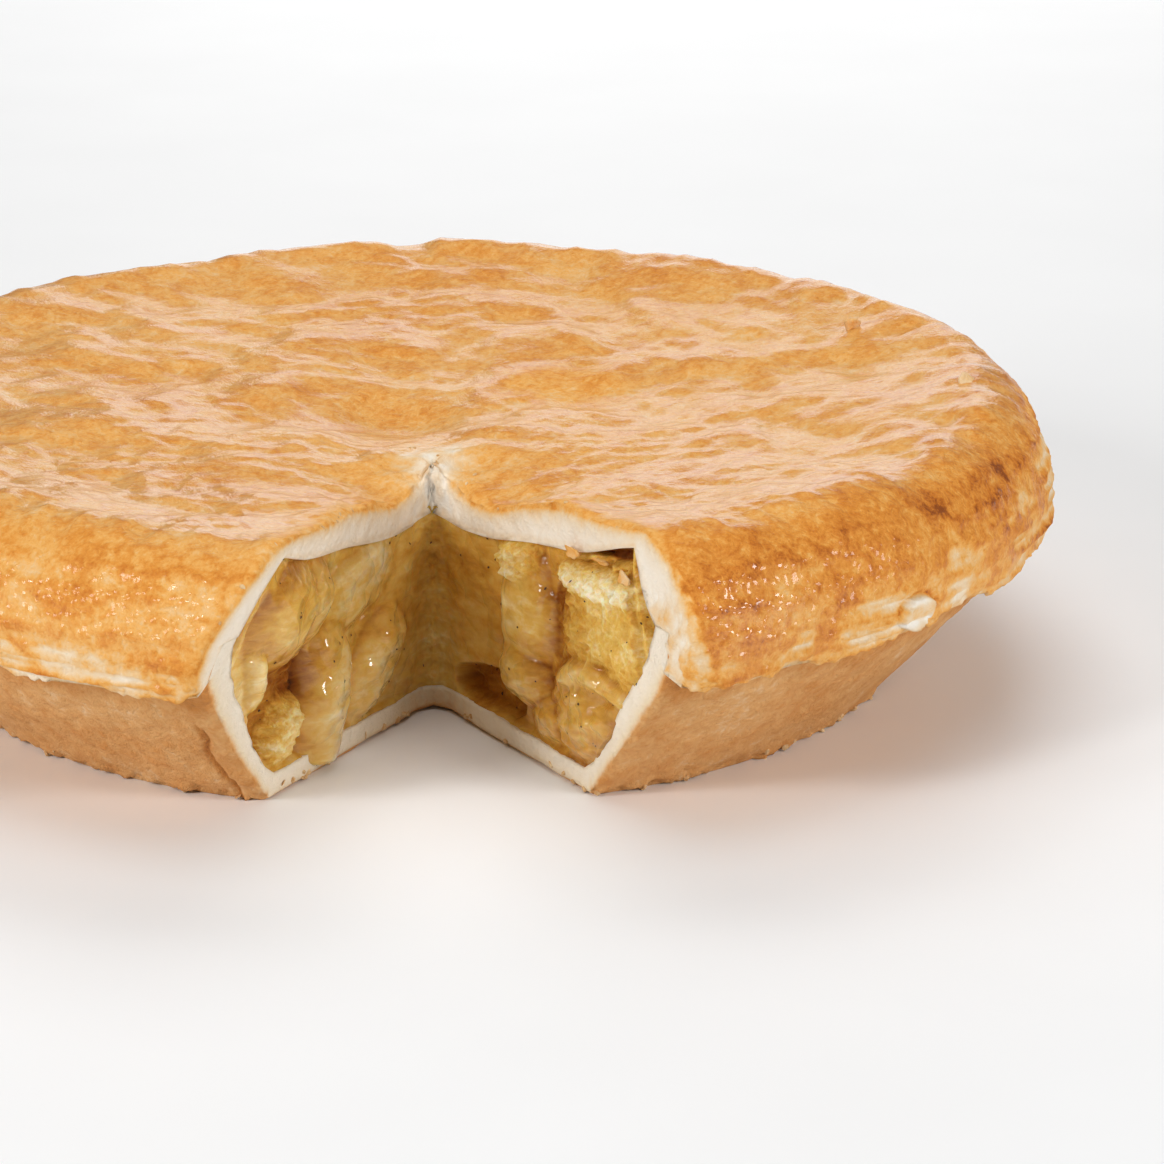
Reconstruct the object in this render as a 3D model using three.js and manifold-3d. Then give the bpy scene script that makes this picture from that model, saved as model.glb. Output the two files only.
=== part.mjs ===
// A double-crust apple pie with one slice cut out: a flared bottom crust, a filling of apple
// pieces in syrup, and a glazed lid whose edge folds down over the bottom crust's rim.
// Millimetres, +Z up. The origin is the middle of the flat base, and the cut opens towards -Y.
import * as THREE from "three";
import { mergeVertices } from "three/addons/utils/BufferGeometryUtils.js";
import Module from "manifold-3d";

// Driving dimensions of the pie.
const BASE_RADIUS = 90;
const RIM_RADIUS = 120; // the folded edge, at its lower lip
const RIM_HEIGHT = 29.5;
const CREST_RADIUS = 106; // the lid's highest ring
const CREST_HEIGHT = 54.5;
const MIDDLE_HEIGHT = 47.5; // the lid's height inside the crest
const BASE_THICKNESS = 4.8;
const LID_THICKNESS = 6.8;
const GAP = 0.3; // between the two crusts
const FILLING_GAP = 0.9; // between the filling and the crusts round it

// The bottom crust's wall, and the seat where the lid's edge folds over it.
const WALL_MIDDLE_RADIUS = 110.5;
const WALL_MIDDLE_HEIGHT = 23;
const SEAT_RADIUS = 116.3;
const SEAT_TOP = 38.3;
const WALL_TOP_THICKNESS = 4.6;
const INNER_WALL_RADIUS = 107.5; // the inner face, level with the rim's lip
const BASE_EDGE = 1.2; // the rounded foot of the wall

// The lid's folded edge.
const BULGE_RADIUS = 121.6;
const BULGE_HEIGHT = 38;
const LIP = 1.6;
const EDGE_THINNING = { share: 0.45, from: 0.78 }; // of its thickness, from this share of the radius
const CORNER_INSET = 1.4; // the lid's inner corner lies this far inside the crest

// The dents and swells of the baked lid.
const DIMPLE = { x: -6, y: 4, radius: 15, depth: 5.5, underShare: 0.4 };
const CUT_SAG = { radius: 46, spread: 20, reach: 14, depth: 3.8, fullFrom: 0.7 };
const APEX_PEAK_RADIUS = 3.5; // the upper face hardly sags this near the apex
const APEX_RIDGE = { radius: 16, height: 1.2 };
const SWELL = { longest: 64, ratio: 0.8, waves: 8, steepness: 0.008, atCrest: 0.4, calmFrom: 0.7 };
const GOLDEN_ANGLE = Math.PI * (3 - Math.sqrt(5));
const OVAL = 1.3; // the lid is this much wider from front to back than across
const FRILL_LOBES = [3, 5, 8, 13, 21]; // waves of the folded edge's radius
const HEM_LOBES = [4, 7, 11, 18, 29]; // waves of its lower lip
const FRILL_DEPTH = 0.3;
const HEM_DEPTH = 0.4;

// The missing slice: two faces that meet at an apex short of the pie's middle. Their angles run
// from -Y towards +X. The left face leans into the gap, more so towards the top.
const APEX = new THREE.Vector2(3.5, -33);
const RIGHT_FACE = THREE.MathUtils.degToRad(29.9);
const LEFT_FACE = THREE.MathUtils.degToRad(360 - 27.5);
const LEFT_LEAN = THREE.MathUtils.degToRad(10.5);
const LEAN_POWER = 2.2;
const LEAN_SPREAD = THREE.MathUtils.degToRad(40);
const FILLING_RECESS = 3.5; // the syrup lies this far behind the cut
const MOST_PROUD = 2; // and the apple pieces stand at most this far out of it

// Apple pieces that show in the cut. Each is placed on its face by its distance from the apex and
// its height, with its long axis turned in the face as seen from the gap, in degrees.
const APPLE_PIECES = [
  { face: "left", along: 59, up: 36.5, length: 36, width: 19, depth: 16, turn: -12, proud: 1.6 },
  { face: "left", along: 35, up: 30, length: 24, width: 15, depth: 14, turn: 52, proud: 1.4 },
  { face: "left", along: 40, up: 15, length: 24, width: 13, depth: 15, turn: 255, proud: 2 },
  { face: "left", along: 23, up: 16, length: 23, width: 12, depth: 13, turn: 48, proud: 1.2 },
  { face: "left", along: 67, up: 27, length: 21, width: 7, depth: 13, turn: -60, proud: 0.6 },
  { face: "left", along: 54, up: 11, length: 13, width: 11, depth: 12, turn: 60, proud: 0.8 },
  { face: "left", along: 12, up: 27, length: 26, width: 16, depth: 13, turn: 80, proud: 0.4 },
  { face: "left", along: 27, up: 38, length: 27, width: 11, depth: 12, turn: 4, proud: 0.4 },
  { face: "right", along: 32, up: 30, length: 25, width: 18, depth: 15, turn: -70, proud: 1.4 },
  { face: "right", along: 63, up: 35, length: 33, width: 19, depth: 17, turn: 4, proud: 2 },
  { face: "right", along: 58, up: 16, length: 24, width: 16, depth: 16, turn: 215, proud: 1.6 },
  { face: "right", along: 36, up: 18, length: 25, width: 11, depth: 13, turn: 190, proud: 1.2 },
  { face: "right", along: 40, up: 9.5, length: 24, width: 9, depth: 13, turn: 8, proud: 0.8 },
  { face: "right", along: 13, up: 24, length: 28, width: 17, depth: 13, turn: -80, proud: 0.4 },
];
const PIECE_BEND = 0.12; // sag of a piece's middle, as a share of its length
const PIECE_SQUARENESS = 0.75; // 1 is an ellipsoid, and less is boxier
const PIECE_SIDES = 10;
const PIECE_RINGS = 8;

// How finely each piece is divided.
const LID_MERIDIANS = 112;
const LID_TOP_STEPS = 19;
const LID_SHOULDER_STEPS = 5;
const LID_UNDER_STEPS = 7;
const CRUST_MERIDIANS = 76;
const FILLING_MERIDIANS = 64;
const FLOOR_STEPS = 2;

const { degToRad, lerp, smoothstep } = THREE.MathUtils;
const wasm = await Module();
wasm.setup();

/** Horizontal unit vector at an angle from -Y towards +X. */
function heading(angle) {
  return new THREE.Vector2(Math.sin(angle), -Math.cos(angle));
}

/** Distance from an apex, along a heading, to the circle of a radius about the pie's axis. */
function reach(apex, way, radius) {
  const along = apex.dot(way);
  return Math.sqrt(along * along + radius * radius - apex.lengthSq()) - along;
}

/** The spot in plan a share of the way along a heading from an apex to the circle of a radius. */
function spotOn(apex, angle, radius, share) {
  const way = heading(angle);
  return way.multiplyScalar(share * reach(apex, way, radius)).add(apex);
}

/** Angle about an apex, from 0 to a full turn, of a point in plan. */
function angleAbout(apex, x, y) {
  const angle = Math.atan2(x - apex.x, apex.y - y);
  return angle < 0 ? angle + 2 * Math.PI : angle;
}

/** A meridian's angle at a height, once the left face has leaned into the gap. */
function leaned(angle, z) {
  const near = smoothstep(angle, LEFT_FACE - LEAN_SPREAD, LEFT_FACE);
  const height = Math.max(z, 0) / CREST_HEIGHT;
  return angle + LEFT_LEAN * near * height ** LEAN_POWER;
}

/** Angles about an apex of meridians that divide the rim evenly, from the right face to the left. */
function meridianAngles(apex, count) {
  const azimuthOf = (angle) => {
    const rim = spotOn(apex, angle, RIM_RADIUS, 1);
    return Math.atan2(rim.x, -rim.y);
  };
  const first = azimuthOf(RIGHT_FACE);
  const last = azimuthOf(LEFT_FACE) + 2 * Math.PI;
  return Array.from({ length: count + 1 }, (_, i) => {
    const rim = heading(lerp(first, last, i / count)).multiplyScalar(RIM_RADIUS);
    return angleAbout(apex, rim.x, rim.y);
  });
}

/** The point where a meridian crosses the circle of a radius, at a height. */
function atRadius(apex, angle, radius, z) {
  const spot = spotOn(apex, leaned(angle, z), radius, 1);
  return new THREE.Vector3(spot.x, spot.y, z);
}

/** The point a share of the way along a meridian from the apex to a circle, at a surface's height. */
function atShare(apex, angle, share, radius, surface) {
  const upright = spotOn(apex, angle, radius, share);
  const spot = spotOn(apex, leaned(angle, surface(upright.x, upright.y)), radius, share);
  return new THREE.Vector3(spot.x, spot.y, surface(spot.x, spot.y));
}

/** A bell curve that is 1 at 0 and about a third at 1. */
function bell(x) {
  return Math.exp(-x * x);
}

/** Sum of a ring of waves round the pie at an azimuth. */
function ringWaves(azimuth, lobes, depth) {
  return lobes.reduce((sum, n, i) => sum + depth * Math.sin(n * azimuth + i * i), 0);
}

/** The lid's broad swells over the fruit beneath, lower along its crest. */
function swell(x, y) {
  const towardsCrest = smoothstep(Math.hypot(x, y) / CREST_RADIUS, SWELL.calmFrom, 1);
  const share = lerp(1, SWELL.atCrest, towardsCrest);
  let z = 0;
  for (let wave = 0; wave < SWELL.waves; wave++) {
    const length = SWELL.longest * SWELL.ratio ** wave;
    const way = heading(wave * GOLDEN_ANGLE);
    const phase = ((x * way.x + y * way.y) * 2 * Math.PI) / length + wave * wave;
    z += share * SWELL.steepness * length * Math.sin(phase);
  }
  return z;
}

/** Angle in plan between the line from the apex to a point and the nearer cut face, 0 in the gap. */
function angleOffCut(x, y) {
  const angle = angleAbout(APEX, x, y);
  return Math.max(0, Math.min(angle - RIGHT_FACE, LEFT_FACE - angle));
}

/** How far the lid sags towards the cut. */
function cutSag(x, y) {
  const offCut = Math.min(angleOffCut(x, y), Math.PI / 2);
  const fromCut = Math.hypot(x - APEX.x, y - APEX.y) * Math.sin(offCut);
  const alongCut = bell((Math.hypot(x, y) - CUT_SAG.radius) / CUT_SAG.spread);
  return CUT_SAG.depth * alongCut * bell(fromCut / CUT_SAG.reach);
}

/** Height of the lid's broad dish, which rises to its crest. */
function dish(x, y) {
  const share = Math.hypot(x, y) / CREST_RADIUS;
  return MIDDLE_HEIGHT + (CREST_HEIGHT - MIDDLE_HEIGHT) * share ** 3;
}

/** Depth of the dimple in the lid's middle. */
function dimple(x, y) {
  return DIMPLE.depth * bell(Math.hypot(x - DIMPLE.x, y - DIMPLE.y) / DIMPLE.radius);
}

/** The lid's baked upper face, which sags along the cut but stays up round the apex. */
function lidTop(x, y) {
  const fromApex = Math.hypot(x - APEX.x, y - APEX.y);
  const besideCut = smoothstep(Math.cos(angleOffCut(x, y)), 0, CUT_SAG.fullFrom);
  const sagShare = besideCut * (1 - bell(fromApex / APEX_PEAK_RADIUS));
  const ridge = APEX_RIDGE.height * bell(fromApex / APEX_RIDGE.radius);
  return dish(x, y) - dimple(x, y) - sagShare * cutSag(x, y) + ridge + swell(x, y);
}

/** The lid's soft under face, which lies on the filling. */
function lidUnder(x, y) {
  const towardsCrest = smoothstep(Math.hypot(x, y) / CREST_RADIUS, EDGE_THINNING.from, 1);
  const thickness = LID_THICKNESS * (1 - EDGE_THINNING.share * towardsCrest);
  return dish(x, y) - DIMPLE.underShare * dimple(x, y) - cutSag(x, y) - thickness;
}

/** Section of the lid on one meridian: over the top, down the folded edge and back underneath. */
function lidSection(apex, angle) {
  const points = [];
  for (let i = 0; i <= LID_TOP_STEPS; i++)
    points.push(atShare(apex, angle, i / LID_TOP_STEPS, CREST_RADIUS, lidTop));
  const crest = points.at(-1);
  const azimuth = Math.atan2(crest.x, -crest.y);
  const frill = ringWaves(azimuth, FRILL_LOBES, FRILL_DEPTH) + OVAL * Math.cos(2 * azimuth);
  const hem = ringWaves(azimuth, HEM_LOBES, HEM_DEPTH);
  for (let i = 1; i <= LID_SHOULDER_STEPS; i++) {
    const turn = ((i / LID_SHOULDER_STEPS) * Math.PI) / 2;
    const radius = lerp(CREST_RADIUS, BULGE_RADIUS + frill, Math.sin(turn));
    points.push(atRadius(apex, angle, radius, lerp(BULGE_HEIGHT, crest.z, Math.cos(turn))));
  }
  const corner = CREST_RADIUS - CORNER_INSET;
  const ledge = SEAT_RADIUS - WALL_TOP_THICKNESS;
  const edge = [
    [RIM_RADIUS + LIP + frill, RIM_HEIGHT + 2 * LIP + hem],
    [RIM_RADIUS + frill, RIM_HEIGHT + hem],
    [SEAT_RADIUS + GAP, RIM_HEIGHT + LIP + hem / 2],
    [SEAT_RADIUS + GAP, SEAT_TOP + GAP],
    [ledge, SEAT_TOP + GAP],
  ];
  points.push(...edge.map(([radius, z]) => atRadius(apex, angle, radius, z)));
  for (let i = LID_UNDER_STEPS; i >= 0; i--)
    points.push(atShare(apex, angle, i / LID_UNDER_STEPS, corner, lidUnder));
  return points;
}

/** Section of the bottom crust: out along the base, up the flared wall and back inside. */
function crustSection(apex, angle) {
  const points = [];
  const foot = BASE_RADIUS - BASE_EDGE;
  const well = BASE_RADIUS - 2 * BASE_EDGE;
  for (let i = 0; i <= FLOOR_STEPS; i++)
    points.push(atShare(apex, angle, i / FLOOR_STEPS, foot, () => 0));
  const wall = [
    [BASE_RADIUS + BASE_EDGE / 2, BASE_EDGE],
    [WALL_MIDDLE_RADIUS, WALL_MIDDLE_HEIGHT],
    [SEAT_RADIUS, RIM_HEIGHT + LIP],
    [SEAT_RADIUS, SEAT_TOP],
    [SEAT_RADIUS - WALL_TOP_THICKNESS, SEAT_TOP],
    [INNER_WALL_RADIUS, RIM_HEIGHT],
    [BASE_RADIUS + BASE_EDGE, BASE_THICKNESS + 2 * BASE_EDGE],
  ];
  points.push(...wall.map(([radius, z]) => atRadius(apex, angle, radius, z)));
  for (let i = FLOOR_STEPS; i >= 0; i--)
    points.push(atShare(apex, angle, i / FLOOR_STEPS, well, () => BASE_THICKNESS));
  return points;
}

/** Section of the hollow between the crusts, a gap inside both. */
function hollowSection(apex, angle) {
  const points = [];
  const corner = CREST_RADIUS - CORNER_INSET - FILLING_GAP;
  const well = BASE_RADIUS - 2 * BASE_EDGE - FILLING_GAP;
  const under = (x, y) => lidUnder(x, y) - FILLING_GAP;
  const floor = () => BASE_THICKNESS + FILLING_GAP;
  for (let i = 0; i <= LID_UNDER_STEPS; i++)
    points.push(atShare(apex, angle, i / LID_UNDER_STEPS, corner, under));
  const wall = [
    [SEAT_RADIUS - WALL_TOP_THICKNESS - FILLING_GAP, SEAT_TOP],
    [INNER_WALL_RADIUS - FILLING_GAP, RIM_HEIGHT],
    [BASE_RADIUS + BASE_EDGE - FILLING_GAP, BASE_THICKNESS + 2 * BASE_EDGE + FILLING_GAP],
  ];
  points.push(...wall.map(([radius, z]) => atRadius(apex, angle, radius, z)));
  for (let i = FLOOR_STEPS; i >= 0; i--)
    points.push(atShare(apex, angle, i / FLOOR_STEPS, well, floor));
  return points;
}

/** A manifold solid from vertex positions and triangles, with shared vertices merged. */
function solidFrom(positions, triangles) {
  const loose = new THREE.BufferGeometry();
  loose.setAttribute("position", new THREE.Float32BufferAttribute(positions, 3));
  loose.setIndex(triangles);
  const merged = mergeVertices(loose);
  const index = merged.index.array;
  const kept = [];
  for (let i = 0; i < index.length; i += 3) {
    const [a, b, c] = index.subarray(i, i + 3);
    if (a !== b && b !== c && c !== a) kept.push(a, b, c);
  }
  return new wasm.Manifold(
    new wasm.Mesh({
      numProp: 3,
      vertProperties: merged.attributes.position.array,
      triVerts: new Uint32Array(kept),
    }),
  );
}

/** Sweeps a section round the pie from the right face to the left, and closes both cut faces. */
function sweep(section, apex, meridians) {
  const inFace = (p) => new THREE.Vector2(Math.hypot(p.x - apex.x, p.y - apex.y), p.z);
  const sections = meridianAngles(apex, meridians).map((angle) => section(apex, angle));
  if (THREE.ShapeUtils.isClockWise(sections[0].map(inFace)))
    sections.forEach((ring) => ring.reverse());
  const count = sections[0].length;
  const last = meridians * count;
  const triangles = [];
  for (let start = 0; start < last; start += count)
    for (let i = 0; i < count; i++) {
      const [a, b] = [start + i, start + ((i + 1) % count)];
      const [c, d] = [a + count, b + count];
      triangles.push(a, c, b, b, c, d);
    }
  for (const [i, j, k] of THREE.ShapeUtils.triangulateShape(sections[0].map(inFace), []))
    triangles.push(i, j, k);
  for (const [i, j, k] of THREE.ShapeUtils.triangulateShape(sections.at(-1).map(inFace), []))
    triangles.push(last + i, last + k, last + j);
  const positions = sections.flat().flatMap((p) => p.toArray());
  return solidFrom(positions, triangles);
}

/** Placement of an apple piece on its cut face: X along the piece, Y across it, Z out of the face. */
function pieceMatrix({ face, along, up, depth, turn, proud }) {
  const left = face === "left";
  const angle = left ? leaned(LEFT_FACE, up) : RIGHT_FACE;
  const way = heading(angle);
  const across = left ? way.clone().negate() : way;
  const sideways = new THREE.Vector3(across.x, across.y, 0);
  const upright = new THREE.Vector3(0, 0, 1);
  const outward = new THREE.Vector3().crossVectors(sideways, upright);
  const spot = way.clone().multiplyScalar(along).add(APEX);
  const centre = new THREE.Vector3(spot.x, spot.y, up);
  centre.addScaledVector(outward, proud - depth / 2);
  return new THREE.Matrix4()
    .makeBasis(sideways, upright, outward)
    .setPosition(centre)
    .multiply(new THREE.Matrix4().makeRotationZ(degToRad(turn)));
}

/** One apple piece: a boxy, rounded crescent. */
function applePiece(piece) {
  const form = new THREE.SphereGeometry(1, PIECE_SIDES, PIECE_RINGS);
  form.rotateZ(Math.PI / 2);
  const position = form.attributes.position;
  const boxy = (v) => (Math.sign(v) * Math.abs(v) ** PIECE_SQUARENESS) / 2;
  for (let i = 0; i < position.count; i++) {
    const x = boxy(position.getX(i));
    const bend = PIECE_BEND * piece.length * (4 * x * x - 0.5);
    const y = boxy(position.getY(i)) * piece.width + bend;
    position.setXYZ(i, x * piece.length, y, boxy(position.getZ(i)) * piece.depth);
  }
  form.applyMatrix4(pieceMatrix(piece));
  return solidFrom([...position.array], [...form.index.array]);
}

/** The filling: syrup behind the cut, with the apple pieces that show fused to it. */
function fillingSolid() {
  const halfAngle = (RIGHT_FACE + 2 * Math.PI - LEFT_FACE) / 2;
  const moved = (distance) =>
    new THREE.Vector2(APEX.x, APEX.y + distance / Math.sin(halfAngle));
  const syrup = sweep(hollowSection, moved(FILLING_RECESS), FILLING_MERIDIANS);
  const room = sweep(hollowSection, moved(-MOST_PROUD), FILLING_MERIDIANS);
  return APPLE_PIECES.reduce((sum, piece) => sum.add(applePiece(piece).intersect(room)), syrup);
}

/** A named mesh of a solid in its material. */
function meshOf(name, solid, colour, roughness) {
  const { vertProperties, triVerts } = solid.getMesh();
  const geometry = new THREE.BufferGeometry();
  geometry.setAttribute("position", new THREE.BufferAttribute(vertProperties, 3));
  geometry.setIndex(new THREE.BufferAttribute(triVerts, 1));
  geometry.computeVertexNormals();
  const material = new THREE.MeshStandardMaterial({ color: colour, roughness, metalness: 0 });
  const mesh = new THREE.Mesh(geometry, material);
  mesh.name = name;
  return mesh;
}

const pie = new THREE.Group();
pie.name = "apple_pie";
pie.add(
  meshOf("bottom_crust", sweep(crustSection, APEX, CRUST_MERIDIANS), 0xc98f52, 0.75),
  meshOf("filling", fillingSolid(), 0xb08a35, 0.3),
  meshOf("top_crust", sweep(lidSection, APEX, LID_MERIDIANS), 0xd9974f, 0.35),
);

export default pie;
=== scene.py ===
"""Dresses an apple pie with one slice cut out: a glazed lid, a dry bottom crust, apple in syrup, and crumbs.

Sizes are in millimetres and angles in degrees, and meshes are made in metres. A heading is measured at the
tip of the missing slice, from the front round to the right. The pie runs from the right cut face to the left.
"""
import logging
import math
from dataclasses import dataclass, field, replace
from enum import Enum

import bmesh
import bpy
import numpy as np
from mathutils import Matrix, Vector


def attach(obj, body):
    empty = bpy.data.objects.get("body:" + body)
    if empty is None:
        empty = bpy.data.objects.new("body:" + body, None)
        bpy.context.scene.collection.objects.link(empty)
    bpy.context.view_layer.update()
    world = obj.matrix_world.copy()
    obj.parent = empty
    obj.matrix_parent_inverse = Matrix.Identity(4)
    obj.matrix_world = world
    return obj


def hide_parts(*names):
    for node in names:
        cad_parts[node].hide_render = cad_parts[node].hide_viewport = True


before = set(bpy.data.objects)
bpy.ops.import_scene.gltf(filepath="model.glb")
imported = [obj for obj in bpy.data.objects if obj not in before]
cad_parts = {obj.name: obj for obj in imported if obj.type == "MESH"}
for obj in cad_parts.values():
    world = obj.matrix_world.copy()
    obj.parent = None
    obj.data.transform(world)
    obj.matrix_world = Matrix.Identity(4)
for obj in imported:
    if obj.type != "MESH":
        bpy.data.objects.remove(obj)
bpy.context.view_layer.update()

Array = np.ndarray
Pair = tuple[float, float]
Triple = tuple[float, float, float]
Chains = tuple[Array, Array, Array, Array]
Piece = bpy.types.Object
Tree = bpy.types.NodeTree
Socket = bpy.types.NodeSocket
LOG = logging.getLogger("apple_pie")
MM = 0.001
BODY = "root"
FULL_TURN = 2.0 * math.pi
GOLDEN_ANGLE = math.pi * (3.0 - math.sqrt(5.0))
SQUARE_CM_PER_SQUARE_METRE = 1e4
PHOTO_PIXELS = 1164
PASTRY_SEED = 3
FRUIT_SEED = 7
FLAKE_SEED = 9
# Edge radius of an edge that stays sharp, distance from a cut face within which a point is on it, and a
# distance further than any on the pie.
SHARP = 1e-6
ON_FACE = 0.01
FAR_AWAY = 99.0
# Rows of points on a cut face lie closer together towards its outer edge.
ROW_CROWDING = 1.3


def lerp(start: Array, end: Array, share: Array) -> Array:
    """Returns the value at a share of the way from start to end."""
    return start + (end - start) * share


def smoothstep(value: Array, low: float, high: float) -> Array:
    """Returns 0 below low, 1 above high and a smooth rise between them."""
    share = np.clip((value - low) / (high - low), 0.0, 1.0)
    return share * share * (3.0 - 2.0 * share)


def bell(value: Array) -> Array:
    """Returns a smooth bump of height 1 at zero, about 2 wide."""
    return np.exp(-np.square(value))


def terrace(value: Array, step: float, sharpness: float) -> Array:
    """Turns a smooth field into steps, as the broken edges of thin pastry layers are.

    Args:
        value: The smooth field.
        step: Height of one step in the field's own unit.
        sharpness: Share of a step that its rise takes, small for a sharp edge.

    Returns:
        The stepped field, in the same unit.
    """
    level = np.floor(value / step)
    rise = smoothstep(value / step - level, 1.0 - sharpness, 1.0)
    return (level + rise) * step


class GradientNoise:
    """Seeded gradient noise in three dimensions, mostly between -1 and 1."""

    CELLS = 256
    GAIN = 1.8

    def __init__(self, seed: int) -> None:
        """Draws the table of directions.

        Args:
            seed: Fixed seed of the table.
        """
        draw = np.random.default_rng(seed)
        ways = draw.normal(size=(self.CELLS, 3))
        self.ways = ways / np.linalg.norm(ways, axis=1, keepdims=True)
        self.order = draw.permutation(self.CELLS)

    def at(self, points: Array, size: float) -> Array:
        """Returns the noise at some points.

        Args:
            points: Points in millimetres, one a row.
            size: Width of one lump in millimetres.

        Returns:
            One value for each point.
        """
        place = points / size
        cell = np.floor(place).astype(np.int64)
        inside = place - cell
        fade = inside ** 3 * (inside * (inside * 6.0 - 15.0) + 10.0)
        total = np.zeros(len(points))
        for corner in np.ndindex(2, 2, 2):
            step = np.array(corner)
            x, y, z = ((cell + step) % self.CELLS).T
            way = self.ways[self.order[(self.order[(self.order[x] + y) % self.CELLS] + z) % self.CELLS]]
            weight = np.prod(np.where(step == 1, fade, 1.0 - fade), axis=1)
            total += weight * np.sum(way * (inside - step), axis=1)
        return total * self.GAIN

    def layered(self, points: Array, size: float, layers: int, keep: float = 0.5) -> Array:
        """Returns noise with finer noise added to it.

        Args:
            points: Points in millimetres, one a row.
            size: Width of the largest lumps in millimetres.
            layers: Number of sizes, each half the one before.
            keep: Height of each size as a share of the one before.

        Returns:
            One value for each point.
        """
        total = np.zeros(len(points))
        for layer in range(layers):
            total += keep ** layer * self.at(points + layer * size, size / 2.0 ** layer)
        return total

    def warped(self, points: Array, size: float, reach: float) -> Array:
        """Moves points about by noise, so that a pattern read there flows and folds.

        Args:
            points: Points in millimetres, one a row.
            size: Width of one fold in millimetres.
            reach: How far points are moved.

        Returns:
            The moved points.
        """
        moved = [self.at(points + size * shift, size) for shift in (3.7, 11.3, 23.9)]
        return points + reach * np.stack(moved, axis=1)


@dataclass
class Shell:
    """A closed mesh in the making, in millimetres, with named values on its points."""

    points: Array
    triangles: Array
    values: dict[str, Array] = field(default_factory=dict)

    def normals(self) -> Array:
        """Returns the outward direction at each point."""
        corners = self.points[self.triangles]
        flat = np.cross(corners[:, 1] - corners[:, 0], corners[:, 2] - corners[:, 0])
        total = np.zeros_like(self.points)
        for corner in self.triangles.T:
            for axis in range(3):
                total[:, axis] += np.bincount(corner, flat[:, axis], len(self.points))
        return total / np.maximum(np.linalg.norm(total, axis=1, keepdims=True), 1e-12)

    def welded(self, tolerance: float = 0.001) -> "Shell":
        """Returns the mesh with doubled points merged, unused ones dropped and its faces pointing out.

        Args:
            tolerance: Points closer than this are one.

        Returns:
            The merged mesh.
        """
        grid = np.round(self.points / tolerance).astype(np.int64)
        _, first, joined = np.unique(grid, axis=0, return_index=True, return_inverse=True)
        triangles = joined.ravel()[self.triangles]
        a, b, c = triangles.T
        used, order = np.unique(triangles[(a != b) & (b != c) & (c != a)], return_inverse=True)
        triangles, first = order.reshape(-1, 3), first[used]
        points = self.points[first]
        corners = points[triangles]
        volume = np.einsum("ij,ij->i", corners[:, 0], np.cross(corners[:, 1], corners[:, 2])).sum()
        if volume < 0.0:
            triangles = triangles[:, ::-1]
        values = {name: value[first] for name, value in self.values.items()}
        return Shell(points, triangles, values)

    def to_object(self, name: str, material: bpy.types.Material) -> Piece:
        """Makes the mesh a Blender object with its values as attributes.

        Args:
            name: Name of the piece.
            material: Its finish.

        Returns:
            The new object, at the origin.
        """
        mesh = bpy.data.meshes.new(name)
        mesh.from_pydata((self.points * MM).tolist(), [], self.triangles.tolist())
        for key, value in self.values.items():
            attribute = mesh.attributes.new(key, "FLOAT", "POINT")
            attribute.data.foreach_set("value", value.astype(np.float32))
        mesh.polygons.foreach_set("use_smooth", np.ones(len(mesh.polygons), dtype=bool))
        mesh.materials.append(material)
        mesh.update()
        piece = bpy.data.objects.new(name, mesh)
        bpy.context.scene.collection.objects.link(piece)
        return piece


def joined(shells: list[Shell]) -> Shell:
    """Returns several meshes as one, with the values that the first of them has."""
    starts = np.cumsum([0] + [len(shell.points) for shell in shells[:-1]])
    points = np.concatenate([shell.points for shell in shells])
    triangles = np.concatenate([shell.triangles + start for shell, start in zip(shells, starts)])
    keys = shells[0].values
    values = {key: np.concatenate([shell.values[key] for shell in shells]) for key in keys}
    return Shell(points, triangles, values)


def grid_triangles(index: Array) -> Array:
    """Returns the triangles of a grid of points.

    Args:
        index: Point numbers, as rows of a grid.

    Returns:
        Two triangles for each cell.
    """
    a, b = index[:-1, :-1].ravel(), index[1:, :-1].ravel()
    c, d = index[1:, 1:].ravel(), index[:-1, 1:].ravel()
    return np.concatenate((np.stack((a, b, c), 1), np.stack((a, c, d), 1)))


def zipped(first: Array, first_share: Array, second: Array, second_share: Array) -> Array:
    """Joins two rows of points of different lengths with triangles.

    Args:
        first: Point numbers of one row.
        first_share: Where each lies along the row, rising from 0 to 1.
        second: Point numbers of the other row.
        second_share: Where each of those lies.

    Returns:
        The triangles between the rows.
    """
    triangles = []
    i, j = 0, 0
    while i < len(first) - 1 or j < len(second) - 1:
        ahead = first_share[i + 1] if i < len(first) - 1 else math.inf
        beside = second_share[j + 1] if j < len(second) - 1 else math.inf
        if ahead <= beside:
            triangles.append((first[i], second[j], first[i + 1]))
            i += 1
        else:
            triangles.append((first[i], second[j], second[j + 1]))
            j += 1
    return np.array(triangles)


def shares_along(lengths: tuple[int, ...], knots: tuple[float, ...]) -> Array:
    """Returns where the points of a section lie, stretch by stretch.

    Args:
        lengths: Number of steps in each stretch.
        knots: Share of the section at which each stretch ends.

    Returns:
        A rising share for each point, from 0 to 1.
    """
    parts = [np.zeros(1)]
    start = 0.0
    for steps, end in zip(lengths, knots):
        parts.append(np.linspace(start, end, steps + 1)[1:])
        start = end
    return np.concatenate(parts)


class Face(Enum):
    """The two faces of the cut, as the photo shows them."""

    LEFT = "left"
    RIGHT = "right"


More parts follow.
